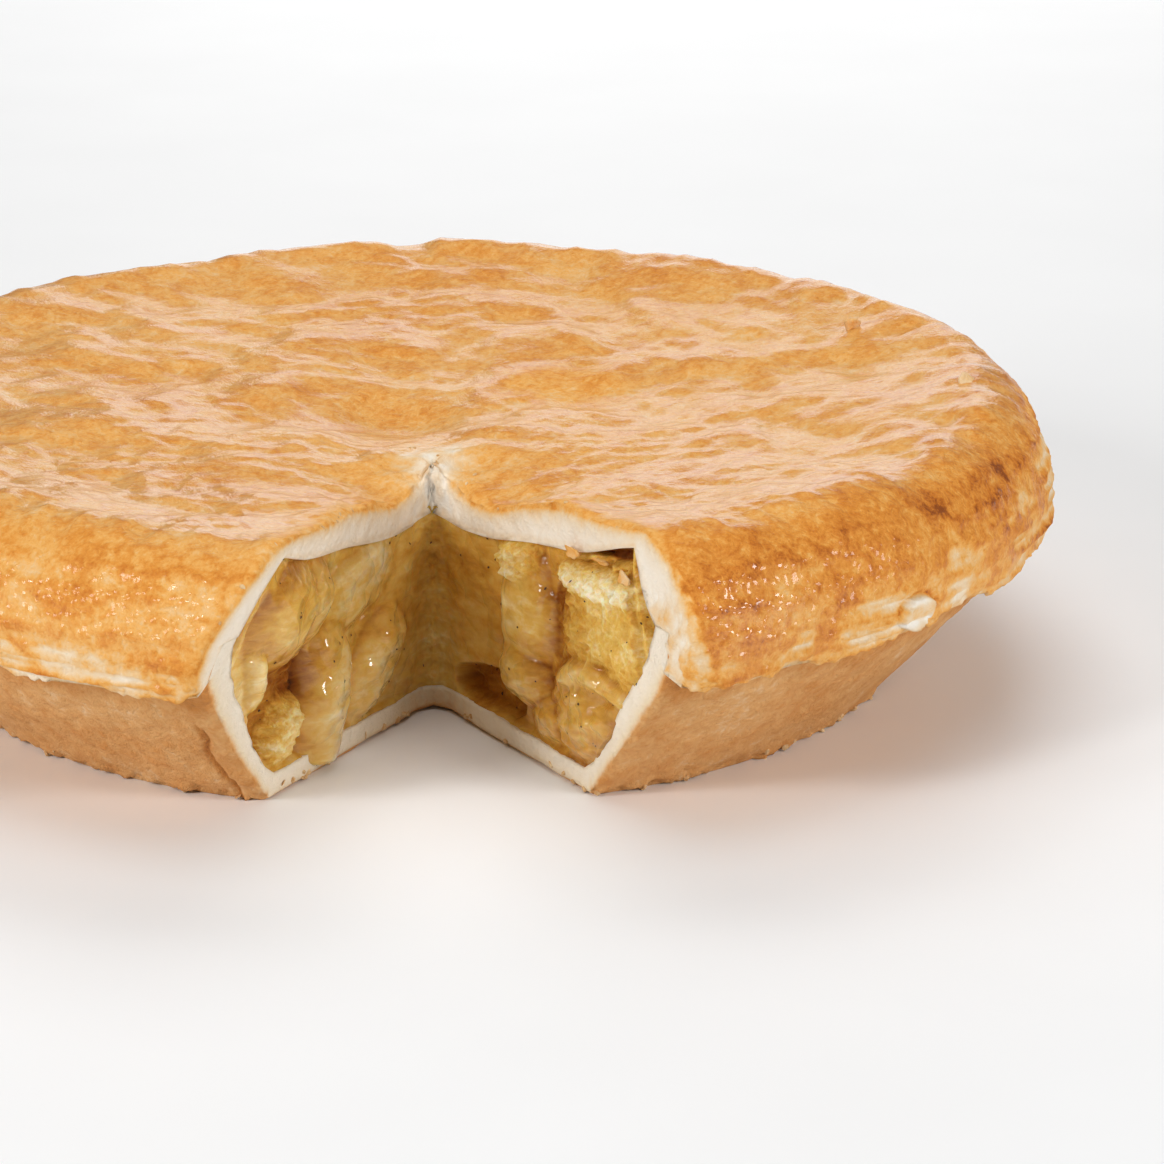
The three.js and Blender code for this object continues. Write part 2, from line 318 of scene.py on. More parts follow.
@dataclass(frozen=True)
class Cut:
    """The missing slice: two upright faces that meet at a tip, the left one leaning in towards its top."""

    tip_x: float = 3.5
    tip_y: float = -33.0
    right: float = 29.9
    left: float = 332.5
    lean: float = 10.5
    lean_power: float = 2.2
    lean_spread: float = 40.0
    lean_height: float = 54.5
    rim_radius: float = 120.0
    crowding: float = 0.62
    tip_depth: float = 3.6
    tip_reach: float = 6.5
    tip_drag: float = 2.2
    tip_grain: float = 0.4

    @property
    def tip(self) -> Array:
        """Returns the tip of the cut seen from above."""
        return np.array((self.tip_x, self.tip_y))

    def heading(self, angle: Array) -> Array:
        """Returns the flat direction at an angle in radians."""
        return np.stack((np.sin(angle), -np.cos(angle)), axis=-1)

    def spot(self, angle: Array, radius: Array, share: Array) -> Array:
        """Finds a place on the way from the tip to a circle round the pie's axis.

        Args:
            angle: Heading in radians.
            radius: Radius of the circle.
            share: Share of the way.

        Returns:
            Flat places, with x and y in the last axis.
        """
        way = self.heading(angle)
        beside = way @ self.tip
        reach = np.sqrt(beside ** 2 + radius ** 2 - self.tip @ self.tip) - beside
        return self.tip + way * (share * reach)[..., None]

    def angle_of(self, flat: Array) -> Array:
        """Returns the heading of flat places in radians, from 0 to a full turn."""
        away = flat - self.tip
        return np.mod(np.arctan2(away[..., 0], -away[..., 1]), FULL_TURN)

    def leaned(self, angle: Array, height: Array) -> Array:
        """Returns a heading with the lean of the left face at a height added to it."""
        left = math.radians(self.left)
        near = smoothstep(angle, left - math.radians(self.lean_spread), left)
        rise = np.clip(height / self.lean_height, 0.0, None) ** self.lean_power
        return angle + math.radians(self.lean) * near * rise

    def off_cut(self, angle: Array) -> Array:
        """Returns the angle in radians between a heading and the nearer face."""
        inside = np.minimum(angle - math.radians(self.right), math.radians(self.left) - angle)
        return np.maximum(inside, 0.0)

    def meridians(self, count: int) -> Array:
        """Spreads headings from the right face to the left, closer together near the faces.

        Args:
            count: Number of headings.

        Returns:
            The headings in radians.
        """
        faces = np.radians((self.right, self.left))
        ends = self.spot(faces, np.float64(self.rim_radius), np.ones(2))
        azimuth = np.arctan2(ends[:, 0], -ends[:, 1])
        share = np.linspace(0.0, 1.0, count)
        share = share - self.crowding * np.sin(FULL_TURN * share) / FULL_TURN
        round_pie = lerp(azimuth[0], azimuth[1] + FULL_TURN, share)
        angles = self.angle_of(self.rim_radius * self.heading(round_pie))
        angles[0], angles[-1] = faces
        return angles

    def from_tip(self, points: Array) -> Array:
        """Returns the flat distance of points from the tip."""
        return np.linalg.norm(points[:, :2] - self.tip, axis=1)

    def tip_fill(self, points: Array, off: Array) -> Array:
        """Returns how far points near the faces are moved out so that the faces meet in a round corner."""
        near = np.clip(1.0 - self.from_tip(points) / self.tip_reach, 0.0, 1.0)
        return self.tip_depth * np.square(near) * bell(off / self.tip_drag)

    def out_of_face(self, points: Array) -> Array:
        """Returns the flat direction out of the nearer cut face, turning to the front at the tip."""
        on_left = points[:, 0] < self.tip_x
        left = self.leaned(np.full(len(points), math.radians(self.left)), points[:, 2])
        angle = np.where(on_left, left, math.radians(self.right))
        out = np.where(on_left, 1.0, -1.0)[:, None] * np.stack((np.cos(angle), np.sin(angle)), axis=1)
        near = bell(self.from_tip(points) / self.tip_reach)[:, None]
        out = lerp(out, np.array(((0.0, -1.0),)), near)
        return np.column_stack((out / np.linalg.norm(out, axis=1, keepdims=True), np.zeros(len(points))))


def ring_waves(azimuth: Array, lobes: tuple[int, ...], depth: float) -> Array:
    """Returns a sum of waves round the pie, for an edge that is crimped by hand.

    Args:
        azimuth: Angle round the pie's axis in radians.
        lobes: Waves in each ring.
        depth: Height of each ring of waves.

    Returns:
        The height of the edge's waves.
    """
    total = np.zeros_like(azimuth)
    for place, count in enumerate(lobes):
        total = total + depth * np.sin(count * azimuth + place * place)
    return total


def swept(cut: Cut, outer: Array, inner: Array, outer_share: Array, inner_share: Array, rows: int) -> Shell:
    """Closes a section that is swept from one cut face to the other.

    Args:
        cut: The missing slice.
        outer: Points of the outer chain, meridian by meridian, from the tip to where the chains meet.
        inner: Points of the inner chain in the same way.
        outer_share: Where each outer point lies along its chain.
        inner_share: Where each inner point lies along its chain.
        rows: Rows of points across each cut face.

    Returns:
        The closed mesh. Its value "share" runs from 0 at the tip to 1 where the chains meet and on to 2 back
        at the tip, "depth" is the distance in from the outer chain on a cut face, "into" the way there and
        "left" what is left of it, "cap" is 1 on a cut face, and "off" is the distance from the nearer one.
    """
    meridians, outer_count = outer.shape[:2]
    loop = np.concatenate((outer, inner[:, ::-1]), axis=1)
    width = loop.shape[1]
    loop_index = np.arange(meridians * width).reshape(meridians, width)
    ring = np.concatenate((loop_index, loop_index[:, :1]), axis=1)
    loop_share = np.tile(np.concatenate((outer_share, 2.0 - inner_share[::-1])), meridians)
    points = [loop.reshape(-1, 3)]
    triangles = [grid_triangles(ring)]
    share = [loop_share]
    depth = [np.zeros(meridians * width)]
    cap = [np.zeros(meridians * width)]
    inner_edge = [np.full(meridians * width, FAR_AWAY)]
    into = [np.zeros((meridians * width, 3))]
    turned = np.minimum(cut.off_cut(cut.meridians(meridians)), math.pi / 2.0)[:, None]
    off = [(np.linalg.norm(loop[..., :2] - cut.tip, axis=2) * np.sin(turned)).ravel()]
    count = meridians * width
    for meridian in (0, meridians - 1):
        edge = outer[meridian]
        across = np.stack([np.interp(outer_share, inner_share, column) for column in inner[meridian].T], 1)
        steps = (np.arange(1, rows + 1) / (rows + 1.0))[:, None, None] ** ROW_CROWDING
        inside = lerp(edge[None], across[None], steps)
        index = count + np.arange(rows * outer_count).reshape(rows, outer_count)
        count += rows * outer_count
        grid = np.concatenate((loop_index[meridian][None, :outer_count], index))
        back = loop_index[meridian][outer_count:][::-1]
        faces = np.concatenate((grid_triangles(grid), zipped(grid[-1], outer_share, back, inner_share)))
        triangles.append(faces[:, ::-1] if meridian == 0 else faces)
        points.append(inside.reshape(-1, 3))
        share.append(np.tile(outer_share, rows))
        depth.append(np.linalg.norm(inside - edge[None], axis=2).ravel())
        inner_edge.append(np.linalg.norm(across[None] - inside, axis=2).ravel())
        cap.append(np.ones(rows * outer_count))
        off.append(np.zeros(rows * outer_count))
        way = across - edge
        way = way / np.maximum(np.linalg.norm(way, axis=1, keepdims=True), 1e-9)
        into[0][loop_index[meridian][:outer_count]] = way
        into.append(np.tile(way, (rows, 1)))
    columns = {"share": share, "depth": depth, "left": inner_edge, "cap": cap, "off": off, "into": into}
    values = {name: np.concatenate(column) for name, column in columns.items()}
    return Shell(np.concatenate(points), np.concatenate(triangles), values).welded()


def rounded(cut: Cut, shell: Shell, radius: Array) -> Array:
    """Works out how the points near the cut's outer edge move to make that edge round.

    Args:
        cut: The missing slice.
        shell: A swept mesh.
        radius: Radius of the edge at each point, near 0 where it stays sharp.

    Returns:
        The movement of each point.
    """
    on_cap = shell.values["cap"] > 0.5
    away = np.where(on_cap, shell.values["depth"], shell.values["off"])
    share = np.clip(away / radius, 0.0, 1.0)
    turn = math.pi / 4.0 * np.where(on_cap, 1.0 + share, 1.0 - share)
    inward = radius * (1.0 - np.sin(turn)) - np.where(on_cap, 0.0, share * radius)
    down = radius * (1.0 - np.cos(turn)) - np.where(on_cap, share * radius, 0.0)
    into = shell.values["into"]
    into = np.where(np.abs(into).sum(axis=1, keepdims=True) > 0.0, into, -shell.normals())
    return into * down[:, None] - cut.out_of_face(shell.points) * inward[:, None]


def crumb_grain(noise: GradientNoise, points: Array, lump: float = 9.0, crumb: float = 3.0) -> Array:
    """Returns how far the crumb of the cut pastry stands out of its face, as soft lumps and finer crumbs."""
    lump_height, crumb_height = 0.45, 0.3
    return lump_height * noise.at(points, lump) + crumb_height * noise.layered(points, crumb, 3)


def srgb(colour: str) -> tuple[float, float, float, float]:
    """Turns an sRGB hex colour to linear.

    Args:
        colour: Six hex digits.

    Returns:
        Linear red, green and blue, and an alpha of 1.
    """
    parts = [int(colour[place:place + 2], 16) / 255.0 for place in (0, 2, 4)]
    linear = [part / 12.92 if part <= 0.04045 else ((part + 0.055) / 1.055) ** 2.4 for part in parts]
    return (*linear, 1.0)


def per_metre(size: float) -> float:
    """Returns the texture scale, in patterns to a metre, of a pattern of a size in millimetres."""
    return 1.0 / (size * MM)


def add_node(tree: Tree, kind: str, inputs: dict | None = None, **settings) -> bpy.types.Node:
    """Adds a node, sets it up and links it.

    Args:
        tree: The tree it goes in.
        kind: Its type, as Blender names it.
        inputs: A value or another node's output for each input, by name or number.
        **settings: The node's own properties.

    Returns:
        The new node.
    """
    node = tree.nodes.new(kind)
    for key, value in settings.items():
        setattr(node, key, value)
    for key, value in (inputs or {}).items():
        if isinstance(value, Socket):
            tree.links.new(value, node.inputs[key])
        else:
            node.inputs[key].default_value = value
    return node


def new_material(name: str) -> tuple[bpy.types.Material, Tree]:
    """Makes an empty material with nodes.

    Args:
        name: Its name.

    Returns:
        The material and its tree.
    """
    material = bpy.data.materials.new(name)
    material.use_nodes = True
    material.node_tree.nodes.clear()
    return material, material.node_tree


def colour_ramp(tree: Tree, value: Socket, stops: tuple) -> Socket:
    """Turns a value to a colour.

    Args:
        tree: The material's tree.
        value: The value, from 0 to 1.
        stops: Pairs of a place from 0 to 1 and an sRGB hex colour.

    Returns:
        The colour.
    """
    ramp = add_node(tree, "ShaderNodeValToRGB", {"Fac": value})
    elements = ramp.color_ramp.elements
    while len(elements) < len(stops):
        elements.new(1.0)
    for element, (place, colour) in zip(elements, stops):
        element.position = place
        element.color = srgb(colour)
    return ramp.outputs["Color"]


def weighted(tree: Tree, start: Socket, parts: list) -> Socket:
    """Adds patterns to a value, each about its middle.

    Args:
        tree: The material's tree.
        start: The value that they are added to.
        parts: Pairs of a pattern from 0 to 1 and its weight.

    Returns:
        The sum.
    """
    total = start
    for pattern, weight in parts:
        about_zero = add_node(tree, "ShaderNodeMath", {0: pattern, 1: 0.5}, operation="SUBTRACT")
        inputs = {0: about_zero.outputs[0], 1: weight, 2: total}
        total = add_node(tree, "ShaderNodeMath", inputs, operation="MULTIPLY_ADD").outputs[0]
    return total


def noises(tree: Tree, wanted: list[tuple]) -> list[Socket]:
    """Adds several noise patterns.

    Args:
        tree: The material's tree.
        wanted: Coordinates, size in millimetres, layers of finer detail and distortion of each.

    Returns:
        A pattern from 0 to 1 for each.
    """
    patterns = []
    for place, size, detail, twist in wanted:
        pattern = add_node(tree, "ShaderNodeTexNoise", {
            "Vector": place, "Scale": per_metre(size), "Detail": detail, "Roughness": 0.6,
            "Distortion": twist,
        })
        patterns.append(pattern.outputs["Fac"])
    return patterns


def drops(tree: Tree, place: Socket, size: float) -> Socket:
    """Adds round drops that stand side by side.

    Args:
        tree: The material's tree.
        place: Coordinates.
        size: Width of a drop in millimetres.

    Returns:
        The height of the drops, 1 at the top of each.
    """
    cells = add_node(tree, "ShaderNodeTexVoronoi", {"Vector": place, "Scale": per_metre(size)})
    away = cells.outputs["Distance"]
    square = add_node(tree, "ShaderNodeMath", {0: away, 1: away}, operation="MULTIPLY").outputs[0]
    return add_node(tree, "ShaderNodeMath", {0: 1.0, 1: square}, operation="SUBTRACT").outputs[0]


def mapped(tree: Tree, value: Socket, ends: tuple) -> Socket:
    """Maps a value from one range to another, held at its ends.

    Args:
        tree: The material's tree.
        value: The value.
        ends: The range it comes from and the range it goes to, as four numbers.

    Returns:
        The mapped value.
    """
    keys = ("From Min", "From Max", "To Min", "To Max")
    return add_node(tree, "ShaderNodeMapRange", {"Value": value, **dict(zip(keys, ends))}).outputs[0]


def attribute(tree: Tree, name: str) -> Socket:
    """Returns a value that the piece's points carry."""
    return add_node(tree, "ShaderNodeAttribute", attribute_name=name).outputs["Fac"]


@dataclass(frozen=True)
class GlazedPastry:
    """Shortcrust baked and brushed with a clear sugar glaze.

    The crust is golden to brown in flecks, and the glaze over it mirrors the room where the surface lies flat
    to the eye, so that pale streaks run between the orange slopes. It is cream-white where it was cut.
    """

    name: str = "shortcrust_baked_under_sugar_glaze"
    stops: tuple[tuple[float, str], ...] = (
        (0.0, "f7f0e4"), (0.16, "efdcc0"), (0.34, "eac490"), (0.5, "eaae5e"), (0.64, "e0953e"),
        (0.78, "d07e2c"), (0.9, "b96820"), (1.0, "904a18"),
    )
    patch: float = 30.0
    flake: float = 5.0
    fleck: float = 1.4
    grain: float = 0.6
    grain_height: float = 0.7
    bead: float = 2.5
    film_height: float = 1.4
    crust_ior: float = 1.4
    glaze_ior: float = 1.5

    def material(self) -> bpy.types.Material:
        """Returns the finish as a material that reads the piece's bake, glaze and grit attributes."""
        material, tree = new_material(self.name)
        place = add_node(tree, "ShaderNodeTexCoord").outputs["Object"]
        bake_and_shade, glaze, grit = (attribute(tree, name) for name in ("bake_and_shade", "glaze", "grit"))
        patches, flakes, flecks, grain = noises(tree, [
            (place, self.patch, 3.0, 0.5), (place, self.flake, 5.0, 0.8), (place, self.fleck, 3.0, 0.3),
            (place, self.grain, 2.0, 0.0),
        ])
        browned = weighted(tree, bake_and_shade, [(patches, 0.4), (flakes, 0.9), (flecks, 0.8), (grain, 0.4)])
        shown = add_node(tree, "ShaderNodeMix", {0: bake_and_shade, 2: bake_and_shade, 3: browned}, data_type="FLOAT").outputs[0]
        colour = colour_ramp(tree, shown, self.stops)
        coat = mapped(tree, weighted(tree, glaze, [(flakes, 0.8), (patches, 0.8)]), (0.1, 0.9, 0.0, 0.85))
        roughness = mapped(tree, coat, (0.0, 1.0, 0.7, 0.4))
        height = weighted(tree, flakes, [(flecks, 0.7), (grain, 0.4)])
        bump = add_node(tree, "ShaderNodeBump", {
            "Strength": 0.8, "Distance": self.grain_height * MM, "Height": height,
        }).outputs[0]
        beaded = mapped(tree, grit, (0.0, 0.9, 0.0, 1.0))
        beads = drops(tree, place, self.bead)
        filmed = add_node(tree, "ShaderNodeMix", {0: beaded, 2: height, 3: beads}, data_type="FLOAT")
        film = add_node(tree, "ShaderNodeBump", {
            "Strength": mapped(tree, grit, (0.0, 1.0, 0.12, 0.5)), "Distance": self.film_height * MM,
            "Height": filmed.outputs[0],
        }).outputs[0]
        shader = add_node(tree, "ShaderNodeBsdfPrincipled", {
            "Base Color": colour, "Roughness": roughness, "Normal": bump, "IOR": self.crust_ior,
            "Specular IOR Level": 0.25, "Coat Weight": coat, "Coat Roughness": 0.1,
            "Coat IOR": self.glaze_ior, "Coat Normal": film,
        })
        add_node(tree, "ShaderNodeOutputMaterial", {"Surface": shader.outputs[0]})
        return material


@dataclass(frozen=True)
class DryPastry:
    """Shortcrust baked dry against a tin.

    It is matt and sandy, with faint streaks up the wall, and cream-white where it was cut.
    """

    name: str = "shortcrust_baked_dry_against_tin"
    stops: tuple[tuple[float, str], ...] = (
        (0.0, "f3eadb"), (0.2, "ecd8b6"), (0.42, "e0aa6c"), (0.6, "d08c46"), (0.8, "b27034"), (1.0, "804a20"),
    )
    patch: float = 16.0
    streak: float = 3.0
    fleck: float = 1.1
    grain: float = 0.5
    grain_height: float = 0.5
    stretch: Triple = (1.0, 1.0, 0.3)
    crust_ior: float = 1.4

    def material(self) -> bpy.types.Material:
        """Returns the finish as a material that reads the piece's bake attribute."""
        material, tree = new_material(self.name)
        place = add_node(tree, "ShaderNodeTexCoord").outputs["Object"]
        drawn = add_node(tree, "ShaderNodeMapping", {"Vector": place, "Scale": self.stretch}).outputs[0]
        bake_and_shade = attribute(tree, "bake_and_shade")
        patches, streaks, flecks, grain = noises(tree, [
            (place, self.patch, 3.0, 0.5), (drawn, self.streak, 4.0, 0.5), (place, self.fleck, 3.0, 0.0),
            (place, self.grain, 2.0, 0.0),
        ])
        browned = weighted(tree, bake_and_shade, [(patches, 0.8), (streaks, 0.8), (flecks, 0.6)])
        shown = add_node(tree, "ShaderNodeMix", {0: bake_and_shade, 2: bake_and_shade, 3: browned}, data_type="FLOAT").outputs[0]
        colour = colour_ramp(tree, shown, self.stops)
        roughness = mapped(tree, flecks, (0.3, 0.7, 0.9, 0.68))
        height = weighted(tree, flecks, [(grain, 0.5), (streaks, 0.8)])
        bump = add_node(tree, "ShaderNodeBump", {
            "Strength": 1.0, "Distance": self.grain_height * MM, "Height": height,
        }).outputs[0]
        shader = add_node(tree, "ShaderNodeBsdfPrincipled", {
            "Base Color": colour, "Roughness": roughness, "Normal": bump, "IOR": self.crust_ior,
        })
        add_node(tree, "ShaderNodeOutputMaterial", {"Surface": shader.outputs[0]})
        return material


@dataclass(frozen=True)
class AppleInSyrup:
    """Soft cooked apple in cinnamon syrup.

    The fruit is a translucent gold that lets light in, the syrup between the pieces is clear amber and dark
    where it lies deep, and both are wet and glossy. Torn flesh is pale and dry. Its tone also carries
    painted glow on the lumps and painted shade in the creases between them.
    """

    name: str = "cooked_apple_in_cinnamon_syrup"
    stops: tuple[tuple[float, str], ...] = (
        (0.0, "3a1605"), (0.2, "844612"), (0.38, "b07428"), (0.55, "d09a40"),
        (0.7, "deb35c"), (0.85, "ebd397"), (1.0, "f5ecd0"),
    )
    cloud: float = 9.0
    fibre: float = 2.2
    flesh_grain: float = 1.1
    bead: float = 5.5
    bead_height: float = 9.0
    fibre_height: float = 1.0
    stretch: Triple = (0.45, 0.45, 1.0)
    flesh_ior: float = 1.4
    syrup_ior: float = 1.5
    light_depth: float = 2.0
    light_reach: Triple = (1.0, 0.6, 0.22)

    def material(self) -> bpy.types.Material:
        """Returns the finish as a material that reads the piece's ripe, dry and wet attributes."""
        material, tree = new_material(self.name)
        place = add_node(tree, "ShaderNodeTexCoord").outputs["Object"]
        drawn = add_node(tree, "ShaderNodeMapping", {"Vector": place, "Scale": self.stretch}).outputs[0]
        ripe_light_and_shade, dry, wet = (attribute(tree, name) for name in ("ripe_light_and_shade", "dry", "wet"))
        clouds, fibres, grains = noises(tree, [
            (drawn, self.cloud, 3.0, 0.6), (drawn, self.fibre, 4.0, 0.4), (place, self.flesh_grain, 2.0, 0.3),
        ])
        torn = mapped(tree, dry, (0.4, 1.0, 0.1, 0.5))
        shade = weighted(tree, ripe_light_and_shade, [(clouds, 0.6), (fibres, 0.5), (grains, torn)])
        colour = colour_ramp(tree, shade, self.stops)
        roughness = mapped(tree, dry, (0.0, 1.0, 0.35, 0.8))
        beaded = mapped(tree, wet, (0.1, 0.6, 0.22, 0.5))
        film = add_node(tree, "ShaderNodeBump", {
            "Strength": beaded, "Distance": self.bead_height * MM, "Height": drops(tree, place, self.bead),
        }).outputs[0]
        bump = add_node(tree, "ShaderNodeBump", {
            "Strength": mapped(tree, dry, (0.0, 1.0, 0.5, 1.0)), "Distance": self.fibre_height * MM,
            "Height": weighted(tree, fibres, [(grains, torn)]),
        }).outputs[0]
        shader = add_node(tree, "ShaderNodeBsdfPrincipled", {
            "Base Color": colour, "Roughness": roughness, "Normal": bump, "IOR": self.flesh_ior,
            "Specular IOR Level": 0.1, "Coat Weight": mapped(tree, dry, (0.0, 0.6, 1.0, 0.0)),
            "Coat Roughness": 0.03, "Coat IOR": self.syrup_ior, "Coat Normal": film, "Subsurface Weight": 0.6,
            "Subsurface Radius": self.light_reach, "Subsurface Scale": self.light_depth * MM,
        })
        add_node(tree, "ShaderNodeOutputMaterial", {"Surface": shader.outputs[0]})
        return material


@dataclass(frozen=True)
class PlainGrain:
    """A dry ground or painted surface: one colour with a little unevenness and no gloss to speak of."""

    name: str
    dark: str
    light: str
    grain: float
    roughness: float

    def material(self) -> bpy.types.Material:
        """Returns the finish as a material."""
        material, tree = new_material(self.name)
        place = add_node(tree, "ShaderNodeTexCoord").outputs["Object"]
        grain = add_node(
            tree, "ShaderNodeTexNoise", {"Vector": place, "Scale": per_metre(self.grain), "Detail": 2.0},
        ).outputs["Fac"]
        colour = colour_ramp(tree, grain, ((0.3, self.dark), (0.7, self.light)))
        shader = add_node(
            tree, "ShaderNodeBsdfPrincipled", {"Base Color": colour, "Roughness": self.roughness},
        )
        add_node(tree, "ShaderNodeOutputMaterial", {"Surface": shader.outputs[0]})
        return material


GROUND_CINNAMON = PlainGrain("ground_cinnamon_bark", "2c1508", "5a3012", 0.6, 0.7)
PASTRY_CRUMB = PlainGrain("broken_pastry_crumb", "c48f52", "e8cc9c", 1.2, 0.75)
PALE_FLOOR = PlainGrain("matt_white_painted_board", "f1f1f1", "f3f3f3", 60.0, 0.6)


class PiePart:
    """What the dressed pieces of the pie share."""

    cut: Cut

    def settled(self, shell: Shell, lift: Array, grain: Array, radius: Array) -> Array:
        """Works out how a swept crust's points move: its relief, its grainy cut faces and their worn edges.

        Args:
            shell: The crust's mesh.
            lift: Height of the relief outside the cut faces.
            grain: How far points of the cut faces stand out.
            radius: Radius of the cut's outer edge at each point.

        Returns:
            The movement of each point.
        """
        off = shell.values["off"]
        face = off < ON_FACE
        edge = face & (shell.values["cap"] < 0.5)
        outward = np.where(edge[:, None], -shell.values["into"], shell.normals())
        moved = outward * lift[:, None] + self.cut.out_of_face(shell.points) * (face * grain)[:, None]
        moved = moved + rounded(self.cut, shell, radius)
        moved[:, 1] -= self.cut.tip_fill(shell.points, off) * (1.0 + self.cut.tip_grain * grain)
        return moved

    @staticmethod
    def dress(piece: Piece, slot: str, nodes: tuple[str, ...] = ()) -> Piece:
        """Ties a piece to the frame.

        Args:
            piece: The piece.
            slot: The record's material slot; it is not used.
            nodes: The solids it stands for.

        Returns:
            The piece.
        """
        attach(piece, BODY)
        if nodes:
            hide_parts(*nodes)
        LOG.info("%s: %d triangles", piece.name, len(piece.data.polygons))
        return piece


@dataclass(frozen=True)
class Patch:
    """A patch of the lid's side: its heading round the rim and its height, and half its size in each.

    Its amount is 1 where the pastry is bare and pale, and 0 where glaze has run down over it.
    """

    around: float
    up: float
    half_width: float
    half_height: float
    amount: float


PATCHES = (
    Patch(-28.5, 30.5, 12.0, 5.4, 0.85),
    Patch(35.0, 33.5, 1.3, 3.0, 0.75),
    Patch(44.5, 33.5, 5.8, 6.5, 0.8),
    Patch(54.5, 36.5, 3.0, 7.5, 0.7),
    Patch(98.0, 38.0, 36.0, 16.0, 1.0),
    Patch(51.4, 38.0, 1.6, 8.5, 0.0),
    Patch(58.8, 39.0, 1.7, 7.0, 0.05),
    Patch(74.0, 41.0, 2.0, 6.0, 0.1),
)


@dataclass(frozen=True)
class LidRelief:
    """The lid's low relief: the size and height of each kind of mark, and its stretch round, out and up."""

    blister: float = 19.0
    blister_height: float = 1.15
    buckle: float = 24.0
    buckle_reach: float = 7.0
    flake_step: float = 0.45
    flake_edge: float = 0.4
    flakiness: float = 0.25
    ripple: float = 4.5
    ripple_height: float = 0.14
    dimple_calm: float = 0.8
    crumb: float = 3.0
    crumb_height: float = 0.25
    tip_crumb_height: float = 0.5
    broken_crumb_height: float = 0.4
    pleat: float = 5.0
    pleat_height: float = 0.6
    pleat_reach: float = 9.0
    pleat_stretch: Triple = (1.0, 0.25, 0.25)
    streak: float = 2.6
    streak_height: float = 0.45
    streak_stretch: Triple = (0.12, 1.0, 1.0)
    sheet: float = 1.5
    sheet_height: float = 0.8
    sheet_stretch: Triple = (0.06, 0.3, 1.0)
    curl_height: float = 1.5
    crease_depth: float = 0.5
    fray: float = 2.4
    fray_height: float = 0.6
    fray_wave: float = 4.0
    fray_drop: float = 0.8
    worn: float = 0.4


@dataclass(frozen=True)
class LidTone:
    """How much each mark browns or pales the lid, on a scale from raw dough to burnt, with painted shade in
    the crease and on the right side, and its glaze.
    """

    golden: float = 0.56
    flake: float = 0.05
    side: float = 0.1
    mottle: float = 0.14
    mottle_size: float = 9.0
    mottle_full: float = 0.6
    streak: float = 0.13
    beside: float = 0.04
    beside_reach: float = 3.5
    # Painted shade: the side darkens by this much towards the right.
    right: float = 0.02
    right_from: float = 60.0
    bare: float = 0.24
    sheet: float = 0.4
    tip: float = 0.32
    crumb: float = 0.2
    # Painted shade in the crease above the curled flake.
    crease: float = 0.4
    curl: float = 0.22
    broken: float = 0.42
    shoulder: float = 0.1
    shoulder_up: float = 49.0
    shoulder_spread: float = 6.0
    shoulder_radii: Pair = (98.0, 110.0)
    burn: float = 0.28
    burn_reach: float = 2.6
    burn_ragged: float = 0.3
    rind: float = 0.56
    rind_depth: float = 1.5
    rind_ragged: float = 0.6
    dough: float = 0.05
    torn: float = 0.2
    torn_crumb: float = 0.24
    under_edge: float = 0.16
    lip: float = 0.34
    hidden: float = 0.1
    glaze: float = 0.85
    side_dry: float = 0.5
    pebble_glaze: float = 0.75
    clear_dry: float = 0.8
    crumb_band: float = 1.2
    crumb_full: float = 0.3


@dataclass
class LidSpots:
    """What the lid's relief and browning are worked out from, a value for each of its points."""

    points: Array
    share: Array
    cap: Array
    depth: Array
    left: Array
    off: Array
    radius: Array
    azimuth: Array
    unrolled: Array
    outside: Array
    side: Array
    bare: Array
    flaky: Array
    crumbly: Array
    streaks: Array
    sheets: Array
    fold: Array
    crease: Array
    frayed: Array
    near_tip: Array
    low_right: Array


